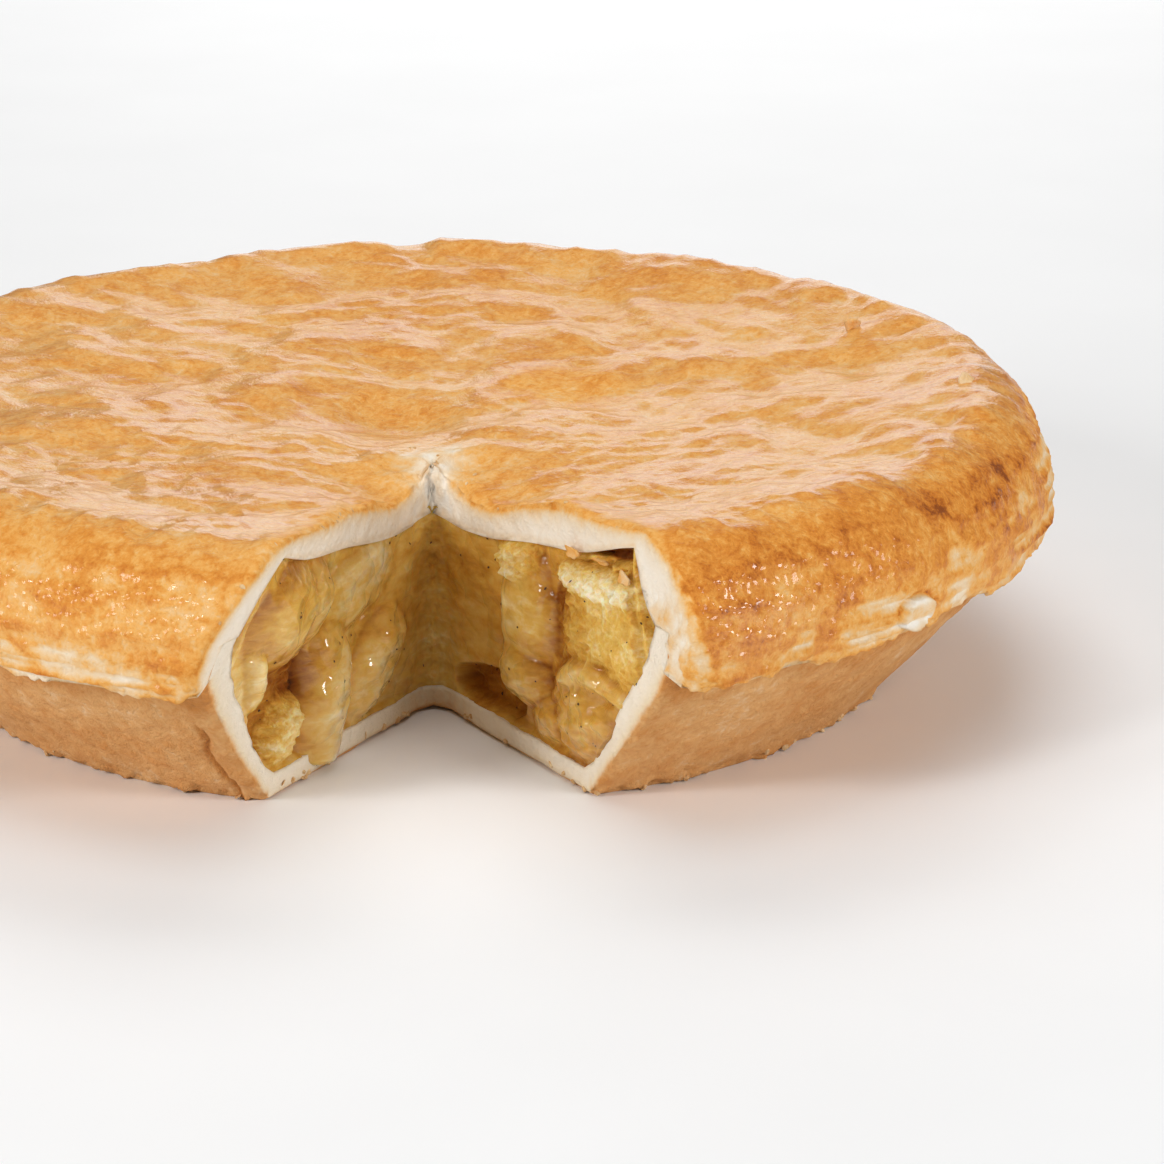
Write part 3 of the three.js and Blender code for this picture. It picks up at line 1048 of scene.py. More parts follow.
@dataclass
class TopCrust(PiePart):
    """The lid: sunk in the middle, with a crest near its edge, and folded over the bottom crust's rim."""

    cut: Cut
    noise: GradientNoise
    relief: LidRelief = LidRelief()
    tone: LidTone = LidTone()
    crest_radius: float = 106.0
    crest_height: float = 54.5
    middle_height: float = 47.5
    thickness: float = 6.8
    edge_thinning: float = 0.45
    thinning_from: float = 0.78
    corner_inset: float = 1.4
    bulge_radius: float = 121.6
    bulge_height: float = 38.0
    rim_radius: float = 120.0
    rim_height: float = 29.5
    lip: float = 1.6
    seat_radius: float = 116.0
    seat_top: float = 38.0
    seat_width: float = 4.9
    oval: float = 1.3
    frill_lobes: tuple[int, ...] = (3, 5, 8, 13, 21)
    hem_lobes: tuple[int, ...] = (4, 7, 11, 18, 29)
    frill_depth: float = 0.3
    hem_depth: float = 0.4
    dimple_x: float = -6.0
    dimple_y: float = 4.0
    dimple_radius: float = 15.0
    dimple_depth: float = 5.5
    dimple_under: float = 0.4
    sag_radius: float = 46.0
    sag_spread: float = 20.0
    sag_reach: float = 14.0
    sag_depth: float = 3.8
    sag_full_from: float = 0.7
    tip_peak: float = 3.5
    tip_ridge: float = 16.0
    tip_ridge_height: float = 1.2
    swell_longest: float = 64.0
    swell_ratio: float = 0.8
    swell_waves: int = 8
    swell_steepness: float = 0.008
    swell_at_crest: float = 0.4
    swell_calm_from: float = 0.7
    dip_around: float = -140.0
    dip_spread: float = 35.0
    dip_depth: float = 1.5
    hem_lift: float = 1.6
    hem_lift_around: float = -15.5
    hem_lift_spread: float = 3.0
    edge_round: float = 2.4
    hem_share: float = 0.968
    side_shares: Pair = (0.6, 0.76)
    fray_shares: Pair = (0.9, 0.96)
    outer_knots: tuple[float, ...] = (0.6, 0.8, 0.97, 1.0)
    inner_knots: tuple[float, ...] = (0.6, 0.72, 0.8, 1.0)
    tip_spread: float = 8.0
    burnt_spots: tuple[Pair, ...] = ((67.0, 49.0), (54.0, 49.5))
    clear_spot: Pair = (27.0, 21.0)
    clear_reach: float = 12.0
    clear_ragged: float = 0.3
    clear_wave: float = 6.0
    broken_width: float = 5.0
    broken_most: float = 1.2
    broken_soft: Pair = (0.6, 0.3)
    broken_ragged: float = 1.2
    broken_top: float = 47.0
    broken_height: float = 14.0
    broken_reach: Pair = (72.0, 80.0)
    broken_depth: Pair = (1.0, 5.0)
    fold_around: float = 48.1
    fold_up: float = 33.6
    fold_width: float = 2.4
    fold_height: float = 3.1
    fold_edge: float = 0.85
    fold_middle: float = 0.4
    crease_at: float = 1.12
    crease_width: float = 0.14
    crease_from: Pair = (-0.2, 0.3)
    pebbles_around: float = 30.0
    pebbles_up: float = 41.0
    pebbles_width: float = 5.0
    pebbles_height: float = 7.5
    hem_bare: float = 0.7
    hem_band: float = 1.4
    hem_wave: float = 1.6
    hem_soft: float = 0.8
    patch_wave: float = 5.0
    patch_ragged: float = 0.35
    patch_soft: Pair = (-0.1, 0.45)
    patch_seed: int = 5
    patch_count: int = 15
    patch_around: Pair = (140.0, 310.0)
    patch_jitter: float = 4.0
    patch_up: Pair = (31.0, 36.0)
    patch_widths: Pair = (1.5, 6.0)
    patch_heights: Pair = (3.0, 7.0)
    patch_amounts: Pair = (0.5, 0.85)
    meridian_count: int = 440
    top_steps: int = 126
    shoulder_steps: int = 26
    side_steps: int = 26
    under_steps: int = 24
    skirt_steps: int = 4
    seat_steps: int = 4
    rows: int = 9

    def dish(self, flat: Array) -> Array:
        """Returns the height of the lid's smooth dish at flat places."""
        radius = np.linalg.norm(flat, axis=-1)
        return lerp(self.middle_height, self.crest_height, (radius / self.crest_radius) ** 3)

    def dimple(self, flat: Array) -> Array:
        """Returns how far the lid is pressed in at its middle."""
        away = np.linalg.norm(flat - np.array((self.dimple_x, self.dimple_y)), axis=-1)
        return self.dimple_depth * bell(away / self.dimple_radius)

    def sag(self, flat: Array) -> Array:
        """Returns how far the lid hangs down beside the cut."""
        radius = np.linalg.norm(flat, axis=-1)
        from_tip = np.linalg.norm(flat - self.cut.tip, axis=-1)
        off = np.minimum(self.cut.off_cut(self.cut.angle_of(flat)), math.pi / 2.0)
        ring = bell((radius - self.sag_radius) / self.sag_spread)
        return self.sag_depth * ring * bell(from_tip * np.sin(off) / self.sag_reach)

    def swell(self, flat: Array) -> Array:
        """Returns the soft waves of the lid's top."""
        radius = np.linalg.norm(flat, axis=-1)
        calm = smoothstep(radius / self.crest_radius, self.swell_calm_from, 1.0)
        total = np.zeros_like(radius)
        for wave in range(self.swell_waves):
            length = self.swell_longest * self.swell_ratio ** wave
            way = self.cut.heading(np.float64(wave * GOLDEN_ANGLE))
            phase = FULL_TURN * (flat @ way) / length + wave ** 2
            total = total + self.swell_steepness * length * np.sin(phase)
        return total * lerp(1.0, self.swell_at_crest, calm)

    def top(self, flat: Array) -> Array:
        """Returns the height of the lid's top at flat places."""
        from_tip = np.linalg.norm(flat - self.cut.tip, axis=-1)
        off = self.cut.off_cut(self.cut.angle_of(flat))
        beside = smoothstep(np.cos(off), 0.0, self.sag_full_from)
        sag = beside * (1.0 - bell(from_tip / self.tip_peak)) * self.sag(flat)
        ridge = self.tip_ridge_height * bell(from_tip / self.tip_ridge)
        around = np.degrees(np.arctan2(flat[..., 0], -flat[..., 1]))
        edge = smoothstep(np.linalg.norm(flat, axis=-1) / self.crest_radius, self.swell_calm_from, 1.0)
        dip = self.dip_depth * bell((around - self.dip_around) / self.dip_spread) * edge
        return self.dish(flat) - self.dimple(flat) - sag + ridge + self.swell(flat) - dip

    def under(self, flat: Array) -> Array:
        """Returns the height of the lid's underside at flat places."""
        radius = np.linalg.norm(flat, axis=-1)
        thin = self.edge_thinning * smoothstep(radius / self.crest_radius, self.thinning_from, 1.0)
        sunk = self.dish(flat) - self.dimple_under * self.dimple(flat) - self.sag(flat)
        return sunk - self.thickness * (1.0 - thin)

    def on_surface(self, angle: Array, radius: float, share: Array, surface: str) -> Array:
        """Finds points of the top or the underside, leaned with the left face.

        Args:
            angle: Headings in radians.
            radius: Radius at which the surface ends.
            share: Shares of the way from the tip to that radius.
            surface: "top" or "under".

        Returns:
            Points by heading and share.
        """
        height = getattr(self, surface)
        flat = self.cut.spot(angle, np.float64(radius), share)
        flat = self.cut.spot(self.cut.leaned(angle, height(flat)), np.float64(radius), share)
        return np.concatenate((flat, height(flat)[..., None]), axis=-1)

    def on_ring(self, angle: Array, radius: Array, height: Array) -> Array:
        """Returns points at given radii and heights, leaned with the left face."""
        radius, height = np.broadcast_arrays(radius, height)
        flat = self.cut.spot(self.cut.leaned(angle, height), radius, np.ones_like(radius))
        return np.concatenate((flat, height[..., None]), axis=-1)

    def chains(self) -> Chains:
        """Works out the lid's section at every heading.

        Returns:
            The outer chain, the inner chain, and the shares along each.
        """
        angle = self.cut.meridians(self.meridian_count)[:, None]
        rim = self.cut.spot(angle, np.float64(self.rim_radius), np.ones_like(angle))
        azimuth = np.arctan2(rim[..., 0], -rim[..., 1])
        frill = ring_waves(azimuth, self.frill_lobes, self.frill_depth) + self.oval * np.cos(2.0 * azimuth)
        near = bell((np.degrees(azimuth) - self.hem_lift_around) / self.hem_lift_spread)
        hem = ring_waves(azimuth, self.hem_lobes, self.hem_depth) + self.hem_lift * near
        wide = np.broadcast_to(angle, (self.meridian_count, self.top_steps + 1))
        top = self.on_surface(wide, self.crest_radius, np.linspace(0.0, 1.0, self.top_steps + 1)[None], "top")
        turn = np.linspace(0.0, math.pi / 2.0, self.shoulder_steps + 1)[None, 1:]
        crest = top[:, -1:, 2]
        shoulder = self.on_ring(
            angle,
            lerp(self.crest_radius, self.bulge_radius + frill, np.sin(turn)),
            lerp(self.bulge_height, crest, np.cos(turn)),
        )
        share = np.linspace(0.0, 1.0, self.side_steps + 1)[None, 1:]
        foot_radius, foot_height = self.rim_radius - self.lip / 2.0 + frill, self.rim_height + hem
        side = self.on_ring(
            angle,
            (1.0 - share ** 2) * (self.bulge_radius + frill) + share ** 2 * foot_radius,
            (1.0 - share) ** 2 * self.bulge_height + (1.0 - (1.0 - share) ** 2) * foot_height,
        )
        meet_height = self.rim_height + self.lip + hem / 2.0
        meet = self.on_ring(angle, self.seat_radius, meet_height)
        outer = np.concatenate((top, shoulder, side, meet), axis=1)
        wide = np.broadcast_to(angle, (self.meridian_count, self.under_steps + 1))
        corner = self.crest_radius - self.corner_inset
        under = self.on_surface(wide, corner, np.linspace(0.0, 1.0, self.under_steps + 1)[None], "under")
        share = np.linspace(0.0, 1.0, self.skirt_steps + 1)[None, 1:]
        ledge_radius = self.seat_radius - self.seat_width
        skirt = self.on_ring(
            angle, lerp(corner, ledge_radius, share), lerp(under[:, -1:, 2], self.seat_top, share),
        )
        ledge = self.on_ring(angle, self.seat_radius, np.full_like(angle, self.seat_top))
        share = np.linspace(0.0, 1.0, self.seat_steps + 1)[None, 1:]
        seat = self.on_ring(angle, self.seat_radius, lerp(self.seat_top, meet_height, share))
        inner = np.concatenate((under, skirt, ledge, seat), axis=1)
        outer_steps = (self.top_steps, self.shoulder_steps, self.side_steps, 1)
        inner_steps = (self.under_steps, self.skirt_steps, 1, self.seat_steps)
        outer_share = shares_along(outer_steps, self.outer_knots)
        inner_share = shares_along(inner_steps, self.inner_knots)
        return outer, inner, outer_share, inner_share

    def build(self) -> Piece:
        """Builds the lid and dresses it.

        Returns:
            The finished piece.
        """
        shell = swept(self.cut, *self.chains(), self.rows)
        at, relief = self.spots(shell), self.relief
        torn = relief.tip_crumb_height * at.near_tip + relief.broken_crumb_height * at.low_right
        grain = crumb_grain(self.noise, shell.points) + torn * at.crumbly
        worn = self.edge_round * (1.0 + relief.worn * at.crumbly)
        edge = np.where(at.share > self.hem_share, SHARP, worn)
        shell.points += self.settled(shell, self.lift(at), grain, edge)
        hem_wave = self.noise.layered(at.unrolled, relief.fray_wave, 3)
        shell.points[:, 2] += relief.fray_drop * at.frayed * hem_wave
        shell.values = self.finish(at)
        piece = shell.to_object("top_crust_pastry", GlazedPastry().material())
        return self.dress(piece, "top_crust", ("top_crust",))

    def spots(self, shell: Shell) -> LidSpots:
        """Reads the lid's patterns at its points, before the relief moves them.

        Args:
            shell: The swept lid.

        Returns:
            The patterns. Their points are the lid's own and move with it.
        """
        relief, noise, points = self.relief, self.noise, shell.points
        share, cap, depth, left, off = (shell.values[key] for key in ("share", "cap", "depth", "left", "off"))
        radius = np.linalg.norm(points[:, :2], axis=1)
        azimuth = np.arctan2(points[:, 0], -points[:, 1])
        unrolled = np.column_stack((azimuth * self.rim_radius, radius, points[:, 2]))
        outside = (share < self.hem_share) * (1.0 - cap)
        side = outside * smoothstep(share, *self.side_shares)
        blisters = noise.layered(noise.warped(points, relief.buckle, relief.buckle_reach), relief.blister, 3)
        stepped = terrace(blisters, relief.flake_step, relief.flake_edge)
        fold, crease = self.fold(unrolled)
        from_tip = self.cut.from_tip(points)
        low_right = (points[:, 0] > self.cut.tip_x) * smoothstep(from_tip, *self.broken_reach)
        return LidSpots(
            points, share, cap, depth, left, off, radius, azimuth, unrolled, outside, side,
            bare=side * self.bare(unrolled),
            flaky=lerp(blisters, stepped, relief.flakiness),
            crumbly=noise.layered(points, relief.crumb, 3),
            streaks=noise.layered(unrolled * np.array(relief.streak_stretch), relief.streak, 2),
            sheets=noise.layered(unrolled * np.array(relief.sheet_stretch), relief.sheet, 2),
            fold=fold,
            crease=crease,
            frayed=outside * smoothstep(share, *self.fray_shares),
            near_tip=bell(from_tip / self.tip_spread),
            low_right=low_right * smoothstep(self.broken_top - points[:, 2], *self.broken_depth),
        )

    def lift(self, at: LidSpots) -> Array:
        """Works out the height of the lid's relief.

        Args:
            at: The lid's patterns.

        Returns:
            A height for each point.
        """
        relief, noise = self.relief, self.noise
        near_crest = bell((at.radius - self.crest_radius) / relief.pleat_reach)
        pleats = near_crest * noise.layered(at.unrolled * np.array(relief.pleat_stretch), relief.pleat, 2)
        calm = 1.0 - relief.dimple_calm * self.dimple(at.points[:, :2]) / self.dimple_depth
        ripples = noise.layered(at.points, relief.ripple, 3)
        top = at.outside - at.side
        lift = top * (relief.blister_height * at.flaky + relief.ripple_height * ripples) * calm
        lift = lift + at.outside * relief.pleat_height * pleats
        glazed = relief.streak_height * at.streaks * (1.0 - at.bare)
        layers = relief.sheet_height * at.bare * at.sheets
        lift = lift + at.side * (glazed + relief.crumb_height * at.crumbly + layers)
        lift = lift + at.side * (relief.curl_height * at.fold - relief.crease_depth * at.crease)
        return lift + relief.fray_height * at.frayed * noise.layered(at.points, relief.fray, 2)

    def crust(self, at: LidSpots, broken: Array) -> Array:
        """Works out how brown the lid's baked outside is.

        Args:
            at: The lid's patterns.
            broken: 1 where the crust has broken off.

        Returns:
            A value for each point, 0 for raw dough and 1 for burnt.
        """
        tone, points, side = self.tone, at.points, at.side
        pale = smoothstep(self.noise.layered(at.unrolled, tone.mottle_size, 3), 0.0, tone.mottle_full)
        to_right = smoothstep(points[:, 0], self.cut.tip_x, tone.right_from)
        marks = tone.side - tone.mottle * pale + tone.streak * at.streaks
        brown = tone.golden + tone.flake * at.flaky + side * marks
        # The side is darkened towards the right with painted shade.
        brown = brown - tone.beside * bell(at.off / tone.beside_reach) + tone.right * side * to_right
        brown = brown - at.bare * (tone.bare - tone.sheet * at.sheets)
        brown = brown - (tone.tip - tone.crumb * at.crumbly) * at.near_tip
        # The crease above the curled flake is darkened with painted shade; the flake itself is paler.
        brown = brown + side * (tone.crease * at.crease - tone.curl * at.fold)
        brown = lerp(brown, tone.broken + tone.crumb * at.crumbly, broken)
        shoulder = at.outside * smoothstep(at.radius, *tone.shoulder_radii)
        band = bell((points[:, 2] - tone.shoulder_up) / tone.shoulder_spread)
        brown = brown + tone.shoulder * shoulder * to_right * band
        for around, up in self.burnt_spots:
            away = (np.degrees(at.azimuth) - around) * math.radians(self.rim_radius)
            near = bell(np.hypot(away, points[:, 2] - up) / tone.burn_reach + tone.burn_ragged * at.crumbly)
            brown = brown + tone.burn * shoulder * near
        return brown

    def dough(self, at: LidSpots, ragged: Array) -> Array:
        """Works out how brown the lid's cut faces are: a crust along the outer edge and pale dough inside.

        Args:
            at: The lid's patterns.
            ragged: Depth in from the outer edge, made uneven.

        Returns:
            A value for each point, 0 for raw dough and 1 for burnt.
        """
        tone = self.tone
        rind = tone.rind * np.exp(-ragged / tone.rind_depth) * (at.share < self.hem_share)
        rind = rind * (1.0 - at.near_tip) * (1.0 - at.low_right)
        torn = at.low_right * (tone.torn + tone.torn_crumb * at.crumbly)
        tip = tone.crumb * at.near_tip * at.crumbly
        return rind + torn + tone.dough + tip + tone.under_edge * bell(at.left)

    def finish(self, at: LidSpots) -> dict[str, Array]:
        """Works out what the lid's finish and its crumbs read.

        Args:
            at: The lid's patterns, at its moved points.

        Returns:
            Values by name, each with one for each point.
        """
        tone = self.tone
        on_right = at.points[:, 0] > self.cut.tip_x
        broken = at.side * on_right * self.broken(at.points, at.off, at.crumbly)
        ragged = np.maximum(at.depth + tone.rind_ragged * at.crumbly, 0.0)
        turned_in = np.where(at.share < 1.0, tone.lip, tone.hidden)
        baked = np.where(at.outside > 0.5, self.crust(at, broken), turned_in)
        glaze = tone.glaze - at.side * (tone.side_dry - tone.pebble_glaze * self.pebbled(at.unrolled))
        glaze = at.outside * glaze * (1.0 - at.bare) * (1.0 - bell(at.off / tone.beside_reach))
        glaze = glaze * (1.0 - broken) * (1.0 - tone.clear_dry * self.clear(at.points))
        edge = np.maximum(at.cap * bell(ragged / tone.crumb_band), at.outside * bell(at.off))
        loose = np.maximum(edge, (at.cap + at.outside) * at.near_tip)
        return {
            # This value carries painted shade in the crease and on the right side as well as the browning.
            "bake_and_shade": np.where(at.cap > 0.5, self.dough(at, ragged), baked),
            "glaze": glaze,
            "grit": at.side,
            "crumbs": smoothstep(at.crumbly, 0.0, tone.crumb_full) * loose,
        }

    def clear(self, points: Array) -> Array:
        """Returns 1 in the smooth clear patch behind the tip, where the glaze hasn't clouded."""
        away = (points[:, :2] - np.array(self.clear_spot)) / self.clear_reach
        wave = self.noise.layered(points, self.clear_wave, 3)
        return bell(np.linalg.norm(away, axis=1) ** 2 + self.clear_ragged * wave)

    def broken(self, points: Array, off: Array, crumbly: Array) -> Array:
        """Works out where the crust has broken off the lid's side beside the cut's right end.

        Args:
            points: The lid's points.
            off: Distance of each from the cut.
            crumbly: Unevenness of the broken edge.

        Returns:
            1 where it is broken, in a band that widens towards the lip.
        """
        flare = np.clip((self.broken_top - points[:, 2]) / self.broken_height, 0.0, self.broken_most)
        width = self.broken_width * flare
        inner, outer = self.broken_soft
        return 1.0 - smoothstep(off + self.broken_ragged * crumbly, inner * width, width + outer)

    def pebbled(self, unrolled: Array) -> Array:
        """Returns 1 on the lid's side right of the cut, where the glaze has dried in small beads."""
        around = (np.degrees(unrolled[:, 0] / self.rim_radius) - self.pebbles_around) / self.pebbles_width
        return bell(around) * bell((unrolled[:, 2] - self.pebbles_up) / self.pebbles_height)

    def fold(self, unrolled: Array) -> tuple[Array, Array]:
        """Returns the height of the flake that has curled up on the lid's side and the crease above it."""
        around = np.degrees(unrolled[:, 0] / self.rim_radius) - self.fold_around
        up = (unrolled[:, 2] - self.fold_up) / self.fold_height
        away = np.hypot(around / self.fold_width, up)
        flake = (1.0 - smoothstep(away, self.fold_edge, 1.0)) * lerp(self.fold_middle, 1.0, np.square(away))
        crease = bell((away - self.crease_at) / self.crease_width) * smoothstep(up, *self.crease_from)
        return flake, crease

    def bare(self, unrolled: Array) -> Array:
        """Returns how bare of glaze the lid's side is.

        Args:
            unrolled: Distance round the rim, distance from the axis and height of each point.

        Returns:
            1 where the pastry is bare and pale, 0 where it is glazed.
        """
        degrees = np.degrees(unrolled[:, 0] / self.rim_radius)
        wobble = self.noise.layered(unrolled, self.patch_wave, 3)
        below_band = self.rim_height + self.hem_band + self.hem_wave * wobble - unrolled[:, 2]
        total = self.hem_bare * smoothstep(below_band, -self.hem_soft, self.hem_soft)
        for patch in PATCHES + self.hidden_patches():
            across = np.abs((degrees - patch.around) / patch.half_width) ** 3
            upward = np.abs((unrolled[:, 2] - patch.up) / patch.half_height) ** 3
            inside = 1.0 - np.cbrt(across + upward) + self.patch_ragged * wobble
            total = lerp(total, patch.amount, smoothstep(inside, *self.patch_soft))
        return total

    def hidden_patches(self) -> tuple[Patch, ...]:
        """Returns patches like those that show, for the side that the photo doesn't."""
        draw = np.random.default_rng(self.patch_seed)
        jitter = draw.uniform(-self.patch_jitter, self.patch_jitter, self.patch_count)
        around = np.linspace(*self.patch_around, self.patch_count) + jitter
        ranges = (self.patch_up, self.patch_widths, self.patch_heights, self.patch_amounts)
        return tuple(
            Patch((place + 180.0) % 360.0 - 180.0, *(draw.uniform(*limits) for limits in ranges))
            for place in around
        )


@dataclass(frozen=True)
class ShellTone:
    """How brown each part of the bottom crust is, on a scale from raw dough to burnt, with painted shade
    under the lid and by the tip, and its crumbs.
    """

    baked: float = 0.47
    crack: float = 0.3
    # Painted shadow under the lid's overhang: the wall's top is darkened by this much over the band of
    # heights below the lid.
    top: float = 0.2
    under_lid_shadow_band: Pair = (22.0, 31.0)
    base_rind: float = 0.25
    wall_rind: float = 0.48
    rind_depth: float = 1.3
    rind_ragged: float = 0.6
    sole: float = 0.08
    sole_crumb: float = 0.2
    sole_ragged: float = 0.4
    sole_reach: float = 3.4
    # Painted shade in the inner corner at the tip: the cut faces darken by this much within the reach from
    # the tip.
    tip_corner_shade: float = 0.2
    tip_corner_shade_reach: float = 16.0
    dough: float = 0.04
    hidden: float = 0.1
    crumbs_below: float = 2.2
    crumbs_from: float = 0.15
    foot_crumbs: float = 0.8


@dataclass
class BottomCrust(PiePart):
    """The flared pastry shell: a flat base and a sloping wall that the lid's edge folds over."""

    cut: Cut
    noise: GradientNoise
    base_radius: float = 90.0
    base_edge: float = 1.2
    base_thickness: float = 4.8
    wall_middle_radius: float = 110.5
    wall_middle_height: float = 23.0
    seat_radius: float = 116.3
    seat_bottom: float = 31.1
    seat_top: float = 38.3
    wall_top: float = 4.6
    inner_radius: float = 107.5
    inner_height: float = 29.5
    foot_height: float = 7.2
    edge_round: float = 1.8
    worn: float = 0.6
    sand: float = 3.0
    sand_height: float = 0.25
    dent: float = 11.0
    dent_height: float = 0.35
    lower_edge: Pair = (0.5, 3.0)
    lower_edge_ragged: float = 0.7
    crack_off: float = 5.0
    crack_top: float = 21.0
    crack_fade: float = 4.0
    crack_width: float = 0.5
    crack_depth: float = 0.9
    crack_bend: float = 7.0
    crack_wander: float = 1.2
    base_share: float = 0.46
    hidden_share: float = 0.9
    wall_share: float = 0.999
    outer_knots: tuple[float, ...] = (0.45, 0.48, 0.8, 0.9, 1.0)
    inner_knots: tuple[float, ...] = (0.45, 0.48, 0.82, 0.95, 1.0)
    tone: ShellTone = ShellTone()
    meridian_count: int = 360
    base_steps: int = 10
    foot_steps: int = 4
    wall_steps: int = 34
    seat_steps: int = 4
    floor_steps: int = 14
    well_steps: int = 2
    inner_steps: int = 18
    ledge_steps: int = 4
    rim_steps: int = 2
    rows: int = 8

    def along_spine(self, angle: Array, corners: list[Pair], steps: list[int]) -> Array:
        """Finds points along straight stretches of the section.

        Args:
            angle: Headings in radians.
            corners: Radius and height of each corner.
            steps: Steps in each stretch.

        Returns:
            Points by heading and step, without the first corner.
        """
        radius, height = [], []
        for (start_r, start_z), (end_r, end_z), count in zip(corners, corners[1:], steps):
            share = np.linspace(0.0, 1.0, count + 1)[1:]
            radius.append(lerp(start_r, end_r, share))
            height.append(lerp(start_z, end_z, share))
        radius, height = np.concatenate(radius), np.concatenate(height)
        shape = (len(angle), len(radius))
        wide = np.broadcast_to(angle, shape)
        height = np.broadcast_to(height, shape)
        flat = self.cut.spot(self.cut.leaned(wide, height), np.broadcast_to(radius, shape), np.ones(shape))
        return np.concatenate((flat, height[..., None]), axis=-1)

    def across(self, angle: Array, radius: float, height: float, count: int) -> Array:
        """Finds points of a flat disc.

        Args:
            angle: Headings in radians.
            radius: The disc's radius.
            height: Its height.
            count: Steps from the tip to the radius.

        Returns:
            Points by heading and step.
        """
        share = np.linspace(0.0, 1.0, count + 1)
        wide = np.broadcast_to(angle, (len(angle), count + 1))
        level = np.full(wide.shape, height)
        flat = self.cut.spot(self.cut.leaned(wide, level), np.float64(radius), share[None])
        return np.concatenate((flat, level[..., None]), axis=-1)

    def chains(self) -> Chains:
        """Lays out the bottom crust's section on every meridian.

        Returns:
            Outer points, inner points and their shares of the way along.
        """
        angle = self.cut.meridians(self.meridian_count)[:, None]
        foot = self.base_radius - self.base_edge
        outer_corners = [
            (foot, 0.0),
            (self.base_radius + self.base_edge / 2.0, self.base_edge),
            (self.wall_middle_radius, self.wall_middle_height),
            (self.seat_radius, self.seat_bottom),
            (self.seat_radius, self.seat_top),
        ]
        outer_counts = [self.foot_steps, self.wall_steps, self.wall_steps // 3, self.seat_steps]
        base = self.across(angle, foot, 0.0, self.base_steps)
        outer = np.concatenate((base, self.along_spine(angle, outer_corners, outer_counts)), axis=1)
        well = self.base_radius - 2.0 * self.base_edge
        inner_corners = [
            (well, self.base_thickness),
            (self.base_radius + self.base_edge, self.foot_height),
            (self.inner_radius, self.inner_height),
            (self.seat_radius - self.wall_top, self.seat_top),
            (self.seat_radius, self.seat_top),
        ]
        inner_counts = [self.well_steps, self.inner_steps, self.ledge_steps, self.rim_steps]
        floor = self.across(angle, well, self.base_thickness, self.floor_steps)
        inner = np.concatenate((floor, self.along_spine(angle, inner_corners, inner_counts)), axis=1)
        outer_share = shares_along((self.base_steps, *outer_counts), self.outer_knots)
        inner_share = shares_along((self.floor_steps, *inner_counts), self.inner_knots)
        return outer, inner, outer_share, inner_share

    def crack(self, points: Array, off: Array) -> Array:
        """Works out where the wall is cracked beside the cut's left end.

        Args:
            points: The crust's points.
            off: Distance of each from the cut.

        Returns:
            1 in the crack, which fades out upwards.
        """
        upright = points * np.array((0.0, 0.0, 1.0))
        path = self.crack_wander * self.noise.layered(upright, self.crack_bend, 3)
        line = (points[:, 0] < self.cut.tip_x) * bell((off - self.crack_off - path) / self.crack_width)
        return line * (1.0 - smoothstep(points[:, 2], self.crack_top - self.crack_fade, self.crack_top))

    def finish(self, shell: Shell, crumbly: Array, split: Array, foot: Array) -> dict[str, Array]:
        """Works out what the crust's finish and its crumbs read.

        Args:
            shell: The crust, at its moved points.
            crumbly: Unevenness of the pastry.
            split: 1 in the crack.
            foot: 1 along the wall's lower edge.

        Returns:
            Values by name, each with one for each point.
        """
        tone, points = self.tone, shell.points
        share, cap, depth = (shell.values[key] for key in ("share", "cap", "depth"))
        ragged = np.maximum(depth + tone.rind_ragged * crumbly, 0.0)
        low = bell(points[:, 2] * (1.0 + tone.sole_ragged * crumbly) / tone.sole_reach)
        sole = low * (tone.sole + tone.sole_crumb * crumbly)
        # Painted shade darkens the cut faces near the tip.
        tip_corner_shade = tone.tip_corner_shade * bell(self.cut.from_tip(points) / tone.tip_corner_shade_reach)
        rind = np.where(share < self.base_share, tone.base_rind, tone.wall_rind)
        rind = rind * np.exp(-ragged / tone.rind_depth) * (share < self.hidden_share)
        dough = np.maximum(rind, sole) + tip_corner_shade + tone.dough
        # The wall darkens towards its top with painted shadow under the lid.
        baked = tone.baked + tone.crack * split + tone.top * smoothstep(points[:, 2], *tone.under_lid_shadow_band)
        loose = tone.foot_crumbs * foot * (crumbly > tone.crumbs_from)
        return {
            # This value carries painted shadow under the lid and painted shade near the tip as well as the
            # browning.
            "bake_and_shade": np.where(cap > 0.5, dough, np.where(share < 1.0, baked, tone.hidden)),
            "crumbs": np.maximum(cap * (points[:, 2] < tone.crumbs_below), loose),
        }

    def build(self) -> Piece:
        """Builds the bottom crust and dresses it.

        Returns:
            The finished piece.
        """
        shell = swept(self.cut, *self.chains(), self.rows)
        points, noise = shell.points, self.noise
        share, cap, off = (shell.values[key] for key in ("share", "cap", "off"))
        wall = (share > self.base_share) * (share < self.wall_share) * (1.0 - cap)
        crumbly = noise.layered(points, self.sand, 3)
        split = wall * self.crack(points, off)
        foot = wall * (1.0 - smoothstep(points[:, 2], *self.lower_edge))
        dents = noise.layered(points, self.dent, 2)
        lift = wall * (self.dent_height * dents + self.sand_height * crumbly - self.crack_depth * split)
        lift = lift + self.lower_edge_ragged * foot * crumbly
        worn = self.edge_round * (1.0 + self.worn * crumbly)
        edge = np.where(share < self.hidden_share, worn, SHARP)
        points += self.settled(shell, lift, crumb_grain(noise, points), edge)
        points[:, 2] = np.maximum(points[:, 2], 0.0)
        shell.values = self.finish(shell, crumbly, split, foot)
        piece = shell.to_object("bottom_crust_pastry", DryPastry().material())
        return self.dress(piece, "bottom_crust", ("bottom_crust",))


